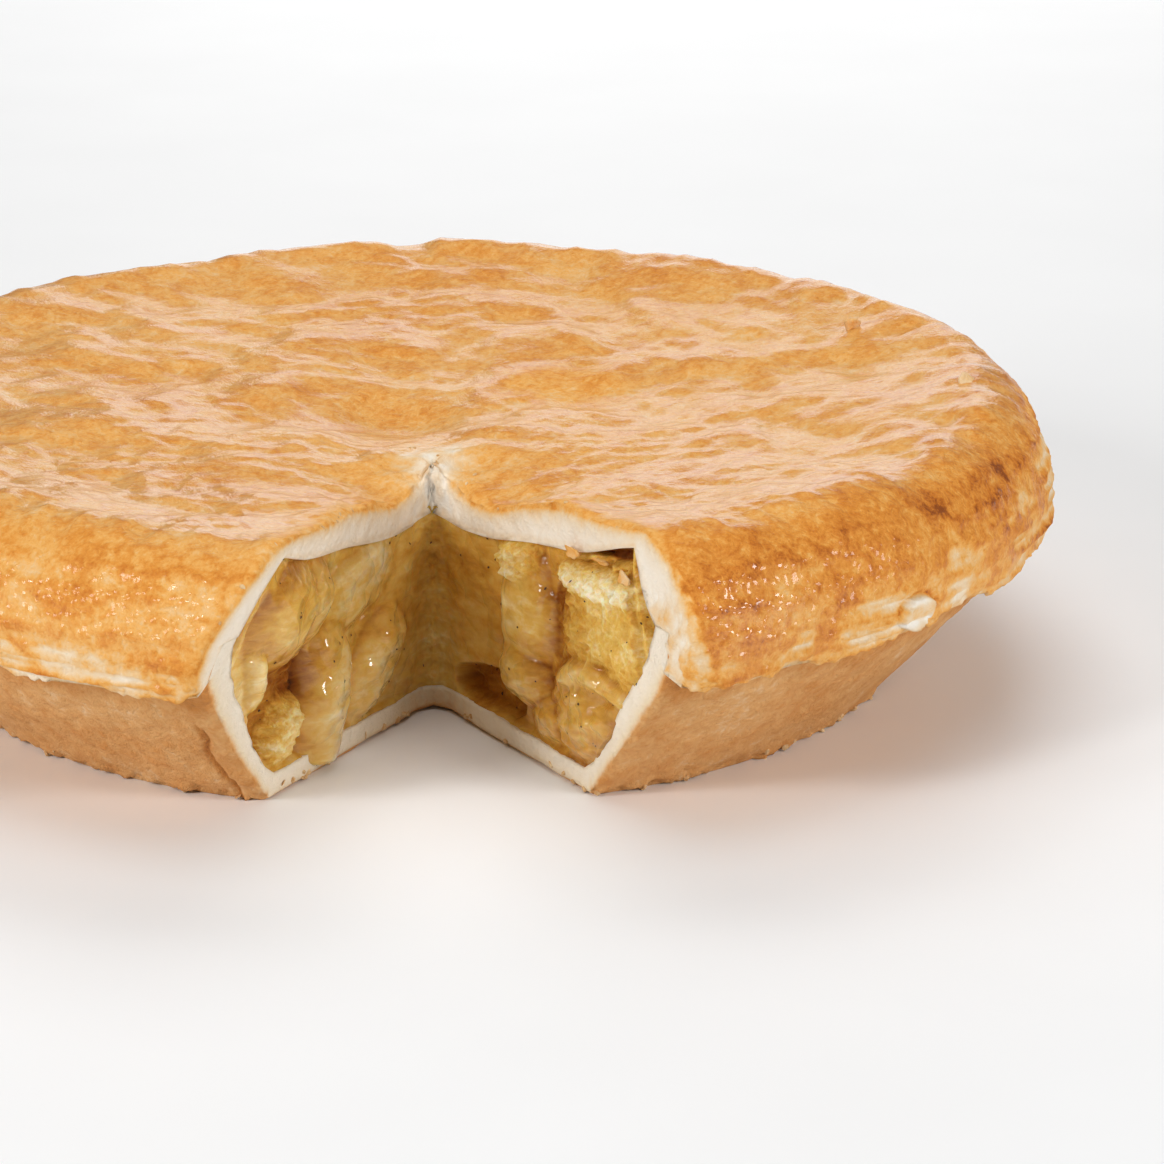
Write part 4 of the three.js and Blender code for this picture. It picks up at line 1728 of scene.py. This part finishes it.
@dataclass(frozen=True)
class Lobe:
    """One soft lump of the filling that shows in a cut face, or a hollow where its height is below zero.

    It lies at a distance from the tip and a height, turned from level, and is bent like a slice of apple.
    """

    face: Face
    along: float
    up: float
    half_length: float
    half_width: float
    turn: float = 0.0
    proud: float = 1.0
    ripe_light_and_shade: float = 0.58
    dry: float = 0.0
    bend: float = 0.0
    boxiness: float = 2.4
    flank: float = 3.2
    droop: float = 0.0
    ragged: float = 0.0
    wet: float = 0.12


LOBES = (
    Lobe(Face.LEFT, 60.0, 36.0, 13.5, 9.4, -8.0, 1.2, 0.45),
    Lobe(Face.LEFT, 49.0, 35.0, 8.0, 6.5, 70.0, 1.3, 0.52),
    Lobe(Face.LEFT, 28.0, 32.0, 20.0, 8.0, 6.0, 0.3, 0.6),
    Lobe(Face.LEFT, 41.0, 14.0, 13.5, 7.2, 86.0, 2.8, 0.62, bend=0.06, droop=2.6, wet=0.35),
    Lobe(Face.LEFT, 21.5, 14.8, 12.5, 7.0, 36.0, 2.2, 0.64, wet=0.7),
    Lobe(Face.LEFT, 68.0, 26.0, 8.0, 2.8, 112.0, 0.5, 0.6, wet=1.0),
    Lobe(Face.LEFT, 54.5, 10.5, 7.0, 5.0, 75.0, 0.4, 0.62, 1.0, ragged=3.0),
    Lobe(Face.RIGHT, 33.5, 27.5, 13.0, 9.5, 86.0, 1.4, 0.62),
    Lobe(Face.RIGHT, 31.0, 36.5, 8.5, 4.8, 10.0, 1.8, 0.74, 1.0, ragged=3.0),
    Lobe(Face.RIGHT, 33.5, 15.8, 8.2, 5.8, -15.0, 2.2, 0.64, wet=0.8),
    Lobe(Face.RIGHT, 67.5, 32.2, 19.6, 9.8, 4.0, 1.2, 0.6, 0.8, boxiness=3.6, flank=2.4, ragged=0.6),
    Lobe(Face.RIGHT, 66.5, 40.4, 18.6, 3.0, 7.0, 1.7, 0.78, 1.0, boxiness=3.2, flank=2.0, ragged=1.4),
    Lobe(Face.RIGHT, 57.0, 14.0, 14.5, 10.0, 8.0, 1.6, 0.5, wet=1.0),
    Lobe(Face.RIGHT, 58.5, 22.0, 12.5, 3.2, 6.0, 2.4, 0.68, bend=-0.14, wet=0.8),
    Lobe(Face.RIGHT, 42.0, 9.5, 8.0, 5.0, 5.0, 1.0, 0.55, wet=1.0),
    Lobe(Face.RIGHT, 54.0, 43.4, 8.0, 1.0, 8.0, -0.6, 0.66, 1.0, flank=2.0, ragged=5.0),
    Lobe(Face.RIGHT, 70.0, 45.6, 8.0, 0.9, 12.0, -0.8, 0.62, 1.0, flank=2.0, ragged=5.0),
    Lobe(Face.RIGHT, 79.0, 45.6, 4.0, 1.6, 30.0, -0.4, 0.58, 1.0, flank=2.0, ragged=5.0),
)
HOLLOWS = (
    Lobe(Face.LEFT, 57.0, 21.0, 13.5, 9.5, 112.0, -4.5, 0.16),
    Lobe(Face.RIGHT, 20.0, 8.5, 12.0, 4.4, 4.0, -4.5, 0.3),
    Lobe(Face.RIGHT, 44.6, 30.0, 9.0, 1.9, 86.0, -2.2, 0.36),
    Lobe(Face.RIGHT, 64.0, 45.6, 17.0, 2.0, 12.0, -4.0, 0.18),
)


@dataclass
class CutFruit:
    """How far the fruit stands out of the cut faces and what it is like, a value for each point."""

    shown: Array
    ripe_light_and_shade: Array
    dry: Array
    wet: Array
    droop: Array


@dataclass
class Filling(PiePart):
    """Apple pieces in syrup, which fill the pie between its crusts and show in both cut faces."""

    cut: Cut
    lid: TopCrust
    crust: BottomCrust
    noise: GradientNoise
    overlap: float = 1.2
    syrup_level: float = -2.0
    syrup_ripe: float = 0.53
    tip_ripe: float = 0.64
    # Painted light: the left cut face is made paler to stand in for light that it doesn't get.
    left_face_painted_light: float = 0.13
    syrup_wet: float = 0.25
    swirl: float = 9.0
    swirl_height: float = 0.25
    tip_level: float = -0.4
    tip_band: Pair = (8.0, 26.0)
    tip_reach: float = 16.0
    tip_dry: float = 0.6
    tip_dry_reach: float = 7.0
    hollow_edge: Pair = (-3.6, -2.0)
    hollow_dry: float = 0.52
    # Painted glow of light through the fruit: lumps are paler at their tops and darker down their flanks.
    lump_painted_glow: float = 0.06
    flank_painted_shade: float = 0.07
    # Painted shade in the creases between lumps.
    crease_painted_shade: float = 0.2
    ripe_range: Pair = (0.1, 1.0)
    dark_dry: float = 0.55
    dark_band: Pair = (0.3, 0.52)
    stretch: Triple = (0.5, 0.5, 1.0)
    outline: float = 8.0
    outline_wobble: float = 0.2
    tear: float = 3.0
    tear_wobble: float = 0.1
    soft: float = 5.0
    soft_height: float = 0.4
    fibre: float = 1.4
    fibre_height: float = 0.9
    wet_ripple: float = 1.8
    wet_height: float = 0.45
    lump_limit: float = 5.0
    buried: float = -20.0
    tucked: float = -0.35
    tuck_from: float = 0.2
    margin: float = 1.2
    softness: float = 0.3
    droop_from: float = 0.3
    droop_room: float = 2.0
    droop_band: float = 7.0
    meridian_count: int = 30
    top_steps: int = 220
    shoulder_steps: int = 24
    wall_steps: int = 30
    foot_steps: int = 3
    outer_knots: tuple[float, ...] = (0.8, 0.9, 0.985, 1.0)
    rows: int = 118

    @property
    def floor_height(self) -> float:
        """Height of the filling's underside."""
        return self.crust.base_thickness - self.overlap

    def lobe_height(self, lobe: Lobe, along: Array, height: Array, wobble: Array) -> Array:
        """Works out how far a lump stands out of its cut face.

        Args:
            lobe: The lump.
            along: Distance of each point from the tip.
            height: Height of each point.
            wobble: Soft and ragged unevenness of its outline at each point.

        Returns:
            Distance out of the face, falling fast outside the lump.
        """
        sideways = lobe.along - along if lobe.face is Face.LEFT else along - lobe.along
        upward = height - lobe.up
        turn = math.radians(lobe.turn)
        x = (math.cos(turn) * sideways + math.sin(turn) * upward) / lobe.half_length
        y = (math.cos(turn) * upward - math.sin(turn) * sideways) / lobe.half_width
        y = y - lobe.bend * lobe.half_length / lobe.half_width * (2.0 * x * x - 0.5)
        out = np.abs(x) ** lobe.boxiness + np.abs(y) ** lobe.boxiness + wobble[0] + lobe.ragged * wobble[1]
        return lobe.proud - lobe.flank * np.clip(out, 0.0, self.lump_limit)

    def chains(self) -> Chains:
        """Lays out the filling's section on every meridian.

        Returns:
            Outer points, inner points and their shares of the way along.
        """
        lid, crust = self.lid, self.crust
        angle = self.cut.meridians(self.meridian_count)[:, None]
        corner = lid.crest_radius - lid.corner_inset
        wide = np.broadcast_to(angle, (self.meridian_count, self.top_steps + 1))
        top = lid.on_surface(wide, corner, np.linspace(0.0, 1.0, self.top_steps + 1)[None], "under")
        top[..., 2] += self.overlap
        well = crust.base_radius - 2.0 * crust.base_edge
        corners = [
            (corner, lid.crest_height - lid.thickness),
            (crust.inner_radius + self.overlap, crust.inner_height),
            (crust.base_radius + crust.base_edge + self.overlap, crust.foot_height),
            (well, self.floor_height),
        ]
        counts = [self.shoulder_steps, self.wall_steps, self.foot_steps]
        outer = np.concatenate((top, crust.along_spine(angle, corners, counts)), axis=1)
        inner = crust.across(angle, well, self.floor_height, self.top_steps)
        outer_share = shares_along((self.top_steps, *counts), self.outer_knots)
        inner_share = shares_along((self.top_steps,), (1.0,))
        return outer, inner, outer_share, inner_share

    def cut_fruit(self, points: Array) -> CutFruit:
        """Works out the lumps and hollows of the cut faces, their tone with painted glow and shade, and how
        dry and wet they are.

        Args:
            points: The filling's points, before they are moved.

        Returns:
            What shows at each point.
        """
        noise, along, height = self.noise, self.cut.from_tip(points), points[:, 2]
        on_left = points[:, 0] < self.cut.tip_x
        stretched = points * np.array(self.stretch)
        wobble = np.stack((
            self.outline_wobble * noise.at(stretched, self.outline),
            self.tear_wobble * noise.layered(stretched, self.tear, 3),
        ))
        level = lerp(self.tip_level, self.syrup_level, smoothstep(along, *self.tip_band))
        level = level + self.swirl_height * noise.at(points, self.swirl)
        damp = self.tip_dry * bell(along / self.tip_dry_reach)
        near_tip = bell(along / self.tip_reach)
        ripe_light_and_shade = lerp(self.syrup_ripe, self.tip_ripe, near_tip)
        for hollow in HOLLOWS:
            mine = on_left if hollow.face is Face.LEFT else ~on_left
            outline = self.lobe_height(replace(hollow, proud=0.0), along, height, wobble)
            into = mine * smoothstep(outline, *self.hollow_edge)
            level = lerp(level, hollow.proud, into)
            ripe_light_and_shade = lerp(ripe_light_and_shade, hollow.ripe_light_and_shade, into)
            damp = np.maximum(damp, self.hollow_dry * into)
        heights, ripes, dries, wets = [level], [ripe_light_and_shade], [damp], [np.full(len(points), self.syrup_wet)]
        droop = np.zeros(len(points))
        for lobe in LOBES:
            mine = on_left if lobe.face is Face.LEFT else ~on_left
            stands = np.where(mine, self.lobe_height(lobe, along, height, wobble), self.buried)
            heights.append(stands)
            # Painted glow and shade: paler at a lump's top, darker down its flanks.
            ripes.append(lobe.ripe_light_and_shade + self.lump_painted_glow + self.flank_painted_shade * (stands - lobe.proud))
            dries.append(np.full(len(points), lobe.dry))
            wets.append(np.full(len(points), lobe.wet))
            droop = droop + lobe.droop * smoothstep(stands, self.syrup_level, lobe.proud)
        weights = np.exp((np.array(heights) - np.max(heights, axis=0)) / self.softness)
        shown = np.max(heights, axis=0) + self.softness * np.log(weights.sum(axis=0))
        weights = weights / weights.sum(axis=0)
        # Creases between lumps, which are darkened with painted shade.
        crease = 1.0 - np.max(weights, axis=0)
        ripe_light_and_shade, dry, wet = ((weights * np.array(parts)).sum(axis=0) for parts in (ripes, dries, wets))
        # The left face, away from the tip, is made paler with painted light.
        ripe_light_and_shade = ripe_light_and_shade - self.crease_painted_shade * crease + self.left_face_painted_light * on_left * (1.0 - near_tip)
        ripe_light_and_shade = np.clip(ripe_light_and_shade, *self.ripe_range)
        dry = np.maximum(dry, self.dark_dry * (1.0 - smoothstep(ripe_light_and_shade, *self.dark_band)))
        shown = shown + self.soft_height * noise.layered(stretched, self.soft, 2)
        shown = shown + self.fibre_height * dry * noise.layered(stretched, self.fibre, 2)
        shown = shown + self.wet_height * wet * noise.layered(stretched, self.wet_ripple, 2)
        return CutFruit(shown, ripe_light_and_shade, dry, wet, droop)

    def build(self) -> Piece:
        """Builds the filling and dresses it.

        Returns:
            The finished piece.
        """
        shell = swept(self.cut, *self.chains(), self.rows)
        points, floor_height = shell.points, self.floor_height
        on_face = shell.values["off"] < ON_FACE
        filled = self.cut.tip_fill(points, shell.values["off"])
        height = points[:, 2].copy()
        fruit = self.cut_fruit(points)
        room = height - floor_height + self.droop_room * (fruit.droop > self.droop_from)
        margin = np.minimum(shell.values["depth"], room)
        inside = smoothstep(margin, self.overlap - self.tuck_from, self.overlap + self.margin)
        tucked = self.tucked + crumb_grain(self.lid.noise, points)
        shown = lerp(tucked, fruit.shown, inside)
        points += self.cut.out_of_face(points) * (on_face * shown)[:, None]
        points[:, 1] -= filled
        low = 1.0 - smoothstep(height, floor_height, floor_height + self.droop_band)
        points[:, 2] -= on_face * fruit.droop * low
        shell.values = {
            # This value carries painted glow and shade as well as the fruit's own tone.
            "ripe_light_and_shade": fruit.ripe_light_and_shade, "dry": fruit.dry, "wet": fruit.wet, "shows": on_face.astype(float),
        }
        piece = shell.to_object("apple_filling", AppleInSyrup().material())
        return self.dress(piece, "filling", ("filling",))


@dataclass(frozen=True)
class Flake:
    """A thin torn flake of pastry: its middle, the heading it faces, how it leans back and its half sizes."""

    middle: Triple
    faces: float
    leans: float
    half_width: float
    half_height: float
    curl: float
    bake_and_shade: float
    curl_from: float = 0.4
    tear: float = 1.6
    tear_depth: float = 0.35
    crumple: float = 2.5
    crumple_height: float = 0.25

    def shell(self, noise: GradientNoise, steps: int, thickness: float) -> Shell:
        """Builds the flake as a closed curled sheet that thins to its edge.

        Args:
            noise: Unevenness of its outline and faces.
            steps: Points along each side.
            thickness: Greatest thickness.

        Returns:
            The closed mesh with its finish's values.
        """
        line = np.linspace(-1.0, 1.0, steps)
        s, t = (grid.ravel() for grid in np.meshgrid(line, line))
        squeeze = np.maximum(np.abs(s), np.abs(t)) / np.maximum(np.hypot(s, t), 1e-9)
        x, y = s * squeeze * self.half_width, t * squeeze * self.half_height
        seed = np.column_stack((x, y, np.zeros_like(x))) + np.array(self.middle)
        ragged = 1.0 + self.tear_depth * noise.layered(seed, self.tear, 2)
        rim = np.maximum(np.abs(s), np.abs(t)) > 0.999
        bend = self.curl * np.square(y / self.half_height + self.curl_from)
        bend = bend + self.crumple_height * noise.at(seed, self.crumple)
        half = np.where(rim, 0.0, thickness / 2.0)
        sheets = [np.column_stack((x * ragged, y * ragged, bend + turn * half)) for turn in (1.0, -1.0)]
        face = grid_triangles(np.arange(steps * steps).reshape(steps, steps))
        face = face[~rim[face].all(axis=1)]
        local = np.concatenate(sheets)
        turn, lean = math.radians(self.faces), math.radians(self.leans)
        right = np.array((math.cos(turn), math.sin(turn), 0.0))
        out = np.array((math.sin(turn), -math.cos(turn), 0.0))
        up = np.array((0.0, 0.0, 1.0)) * math.cos(lean) - out * math.sin(lean)
        front = out * math.cos(lean) + np.array((0.0, 0.0, 1.0)) * math.sin(lean)
        points = local @ np.stack((right, up, front)) + np.array(self.middle)
        triangles = np.concatenate((face, face[:, ::-1] + steps * steps))
        return Shell(points, triangles, {"bake_and_shade": np.full(len(points), self.bake_and_shade)}).welded()


@dataclass
class Flakes(PiePart):
    """Torn flakes that stand up from the lid's crest and hang from its underside in the cut."""

    noise: GradientNoise
    steps: int = 11
    thickness: float = 0.6

    def build(self) -> Piece:
        """Builds all the flakes as one piece and dresses it.

        Returns:
            The finished piece.
        """
        flakes = (
            Flake((84.8, 42.0, 53.4), 20.0, 5.0, 1.7, 1.8, 0.4, 0.4),
            Flake((104.0, -4.0, 54.7), 40.0, 65.0, 2.0, 1.4, 0.5, 0.3),
            Flake((29.6, -80.4, 44.6), -60.0, 15.0, 2.8, 1.0, 0.5, 0.46),
            Flake((34.4, -87.6, 45.4), -50.0, -20.0, 2.2, 0.9, 0.6, 0.5),
            Flake((38.6, -95.8, 44.6), -64.0, 25.0, 2.6, 1.1, 0.5, 0.46),
        )
        shell = joined([flake.shell(self.noise, self.steps, self.thickness) for flake in flakes])
        shell.values["glaze"] = np.zeros(len(shell.points))
        shell.values["grit"] = np.ones(len(shell.points))
        piece = shell.to_object("torn_flakes", bpy.data.materials[GlazedPastry.name])
        return self.dress(piece, "top_crust")


@dataclass
class Scatter(PiePart):
    """Small grains of one kind, strewn over the places where a piece's attribute allows them."""

    name: str
    slot: str
    attribute: str
    finish: PlainGrain
    per_square_centimetre: float
    smallest: float
    largest: float
    flatness: float
    seed: int
    detail: int = 1
    tilt: float = 0.6

    def tree(self) -> Tree:
        """Builds the tree that strews the grains.

        Returns:
            The tree, with the density, the sizes and the seed as its inputs.
        """
        tree = bpy.data.node_groups.new(self.name, "GeometryNodeTree")
        sockets = (
            ("Surface", "NodeSocketGeometry"), ("Density", "NodeSocketFloat"),
            ("Smallest", "NodeSocketVector"), ("Largest", "NodeSocketVector"), ("Seed", "NodeSocketInt"),
        )
        for label, kind in sockets:
            tree.interface.new_socket(label, in_out="INPUT", socket_type=kind)
        tree.interface.new_socket("Grains", in_out="OUTPUT", socket_type="NodeSocketGeometry")
        given = add_node(tree, "NodeGroupInput").outputs
        allowed = add_node(
            tree, "GeometryNodeInputNamedAttribute", {"Name": self.attribute}, data_type="FLOAT",
        ).outputs[0]
        dense = add_node(tree, "ShaderNodeMath", {0: allowed, 1: given["Density"]}, operation="MULTIPLY")
        spots = add_node(tree, "GeometryNodeDistributePointsOnFaces", {
            "Mesh": given["Surface"], "Density": dense.outputs[0], "Seed": given["Seed"],
        })
        grain = add_node(tree, "GeometryNodeMeshIcoSphere", {"Radius": 0.5, "Subdivisions": self.detail})
        size = add_node(tree, "FunctionNodeRandomValue", {
            0: given["Smallest"], 1: given["Largest"], "Seed": given["Seed"],
        }, data_type="FLOAT_VECTOR")
        spin = add_node(tree, "FunctionNodeRandomValue", {
            0: (0.0, 0.0, 0.0), 1: (self.tilt, self.tilt, FULL_TURN), "Seed": given["Seed"],
        }, data_type="FLOAT_VECTOR")
        turned = add_node(tree, "FunctionNodeRotateRotation", {
            0: spots.outputs["Rotation"], 1: spin.outputs[0],
        }, rotation_space="LOCAL")
        strewn = add_node(tree, "GeometryNodeInstanceOnPoints", {
            "Points": spots.outputs["Points"], "Instance": grain.outputs["Mesh"],
            "Rotation": turned.outputs[0], "Scale": size.outputs[0],
        })
        real = add_node(tree, "GeometryNodeRealizeInstances", {"Geometry": strewn.outputs[0]})
        painted = add_node(tree, "GeometryNodeSetMaterial", {
            "Geometry": real.outputs[0], "Material": self.finish.material(),
        })
        add_node(tree, "NodeGroupOutput", {"Grains": painted.outputs[0]})
        return tree

    def build(self, surface: Piece) -> Piece:
        """Strews the grains over a piece and dresses them.

        Args:
            surface: The piece that they lie on.

        Returns:
            The grains as one piece.
        """
        grains = bpy.data.objects.new(self.name, surface.data)
        bpy.context.scene.collection.objects.link(grains)
        tree = self.tree()
        modifier = grains.modifiers.new(self.name, "NODES")
        modifier.node_group = tree
        values = {
            "Density": self.per_square_centimetre * SQUARE_CM_PER_SQUARE_METRE,
            "Smallest": np.array((1.0, 1.0, self.flatness)) * self.smallest * MM,
            "Largest": np.array((1.0, 1.0, self.flatness)) * self.largest * MM,
            "Seed": self.seed,
        }
        for item in tree.interface.items_tree:
            if item.name in values:
                value = values[item.name]
                modifier[item.identifier] = value.tolist() if isinstance(value, np.ndarray) else value
        depsgraph = bpy.context.evaluated_depsgraph_get()
        mesh = bpy.data.meshes.new_from_object(grains.evaluated_get(depsgraph))
        grains.modifiers.clear()
        grains.data = mesh
        mesh.name = self.name
        for vertex in mesh.vertices:
            vertex.co.z = max(vertex.co.z, 0.0)
        return self.dress(grains, self.slot)


@dataclass(frozen=True)
class Light:
    """A square soft light: its place, the place it faces, the length of its side and its power in watts.

    One that isn't mirrored stands for light bounced off the room, which no gloss shows the shape of.
    """

    name: str
    place: Triple
    aim: Triple
    size: float
    power: float
    mirrored: bool = True


@dataclass
class Studio:
    """A pale floor, soft lights in front, above and behind, and the photo's view."""

    floor_size: float = 6000.0
    target: Triple = (31.2, 0.0, 13.4)
    elevation: float = 17.73
    distance: float = 960.0
    focal_pixels: float = 4978.0
    sensor: float = 36.0
    ambient: float = 0.12
    lights: tuple[Light, ...] = (
        Light("key_light", (-720.0, -800.0, 640.0), (0.0, 0.0, 0.0), 220.0, 4.2),
        Light("fill_light", (720.0, -800.0, 640.0), (0.0, 0.0, 0.0), 220.0, 3.6),
        Light("top_light", (0.0, -200.0, 1300.0), (0.0, 0.0, 0.0), 900.0, 5.0, False),
        Light("left_light", (-800.0, -470.0, 330.0), (0.0, 0.0, 20.0), 220.0, 2.4),
        Light("right_light", (880.0, -430.0, 240.0), (0.0, 0.0, 20.0), 220.0, 2.0),
        Light("back_light", (100.0, 1300.0, 270.0), (0.0, 0.0, 40.0), 560.0, 1.15),
        Light("floor_light", (0.0, 1000.0, 1000.0), (0.0, 900.0, 0.0), 900.0, 10.0, False),
    )

    def shine(self, light: Light) -> None:
        """Adds a square soft light."""
        data = bpy.data.lights.new(light.name, "AREA")
        data.size = light.size * MM
        data.energy = light.power
        lamp = bpy.data.objects.new(light.name, data)
        lamp.visible_glossy = light.mirrored
        lamp.location = Vector(light.place) * MM
        lamp.rotation_euler = (Vector(light.aim) - Vector(light.place)).to_track_quat("-Z", "Y").to_euler()
        bpy.context.scene.collection.objects.link(lamp)

    def build(self) -> None:
        """Builds the floor, the lights and the camera."""
        scene = bpy.context.scene
        mesh = bpy.data.meshes.new("floor")
        shape = bmesh.new()
        bmesh.ops.create_grid(shape, x_segments=1, y_segments=1, size=self.floor_size / 2.0 * MM)
        shape.to_mesh(mesh)
        shape.free()
        mesh.materials.append(PALE_FLOOR.material())
        floor = bpy.data.objects.new("floor", mesh)
        scene.collection.objects.link(floor)
        world = bpy.data.worlds.new("soft_room")
        world.use_nodes = True
        world.node_tree.nodes["Background"].inputs["Color"].default_value = srgb("ffffff")
        world.node_tree.nodes["Background"].inputs["Strength"].default_value = self.ambient
        scene.world = world
        scene.view_settings.view_transform = "Standard"
        for light in self.lights:
            self.shine(light)
        data = bpy.data.cameras.new("photo_view")
        data.sensor_width = self.sensor
        data.lens = self.focal_pixels * self.sensor / PHOTO_PIXELS
        camera = bpy.data.objects.new("photo_view", data)
        tilt = math.radians(self.elevation)
        away = Vector((0.0, -math.cos(tilt), math.sin(tilt))) * self.distance
        camera.location = (Vector(self.target) + away) * MM
        camera.rotation_euler = (math.pi / 2.0 - tilt, 0.0, 0.0)
        scene.collection.objects.link(camera)
        scene.camera = camera


def main() -> None:
    """Builds the pie piece by piece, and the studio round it."""
    logging.basicConfig(level=logging.INFO, format="%(name)s: %(message)s")
    Studio().build()
    cut = Cut()
    lid = TopCrust(cut, GradientNoise(PASTRY_SEED))
    crust = BottomCrust(cut, GradientNoise(PASTRY_SEED))
    filling = Filling(cut, lid, crust, GradientNoise(FRUIT_SEED))
    lid_piece = lid.build()
    crust_piece = crust.build()
    filling_piece = filling.build()
    Flakes(GradientNoise(FLAKE_SEED)).build()
    Scatter(
        "cinnamon_specks", "filling", "shows", GROUND_CINNAMON,
        per_square_centimetre=1.1, smallest=0.2, largest=0.85, flatness=0.5, seed=11,
    ).build(filling_piece)
    Scatter(
        "base_crumbs", "bottom_crust", "crumbs", PASTRY_CRUMB,
        per_square_centimetre=14.0, smallest=0.5, largest=1.8, flatness=0.8, seed=12,
    ).build(crust_piece)
    Scatter(
        "lid_crumbs", "top_crust", "crumbs", PASTRY_CRUMB,
        per_square_centimetre=6.0, smallest=0.4, largest=1.4, flatness=0.6, seed=13,
    ).build(lid_piece)


if __name__ == "__main__":
    main()
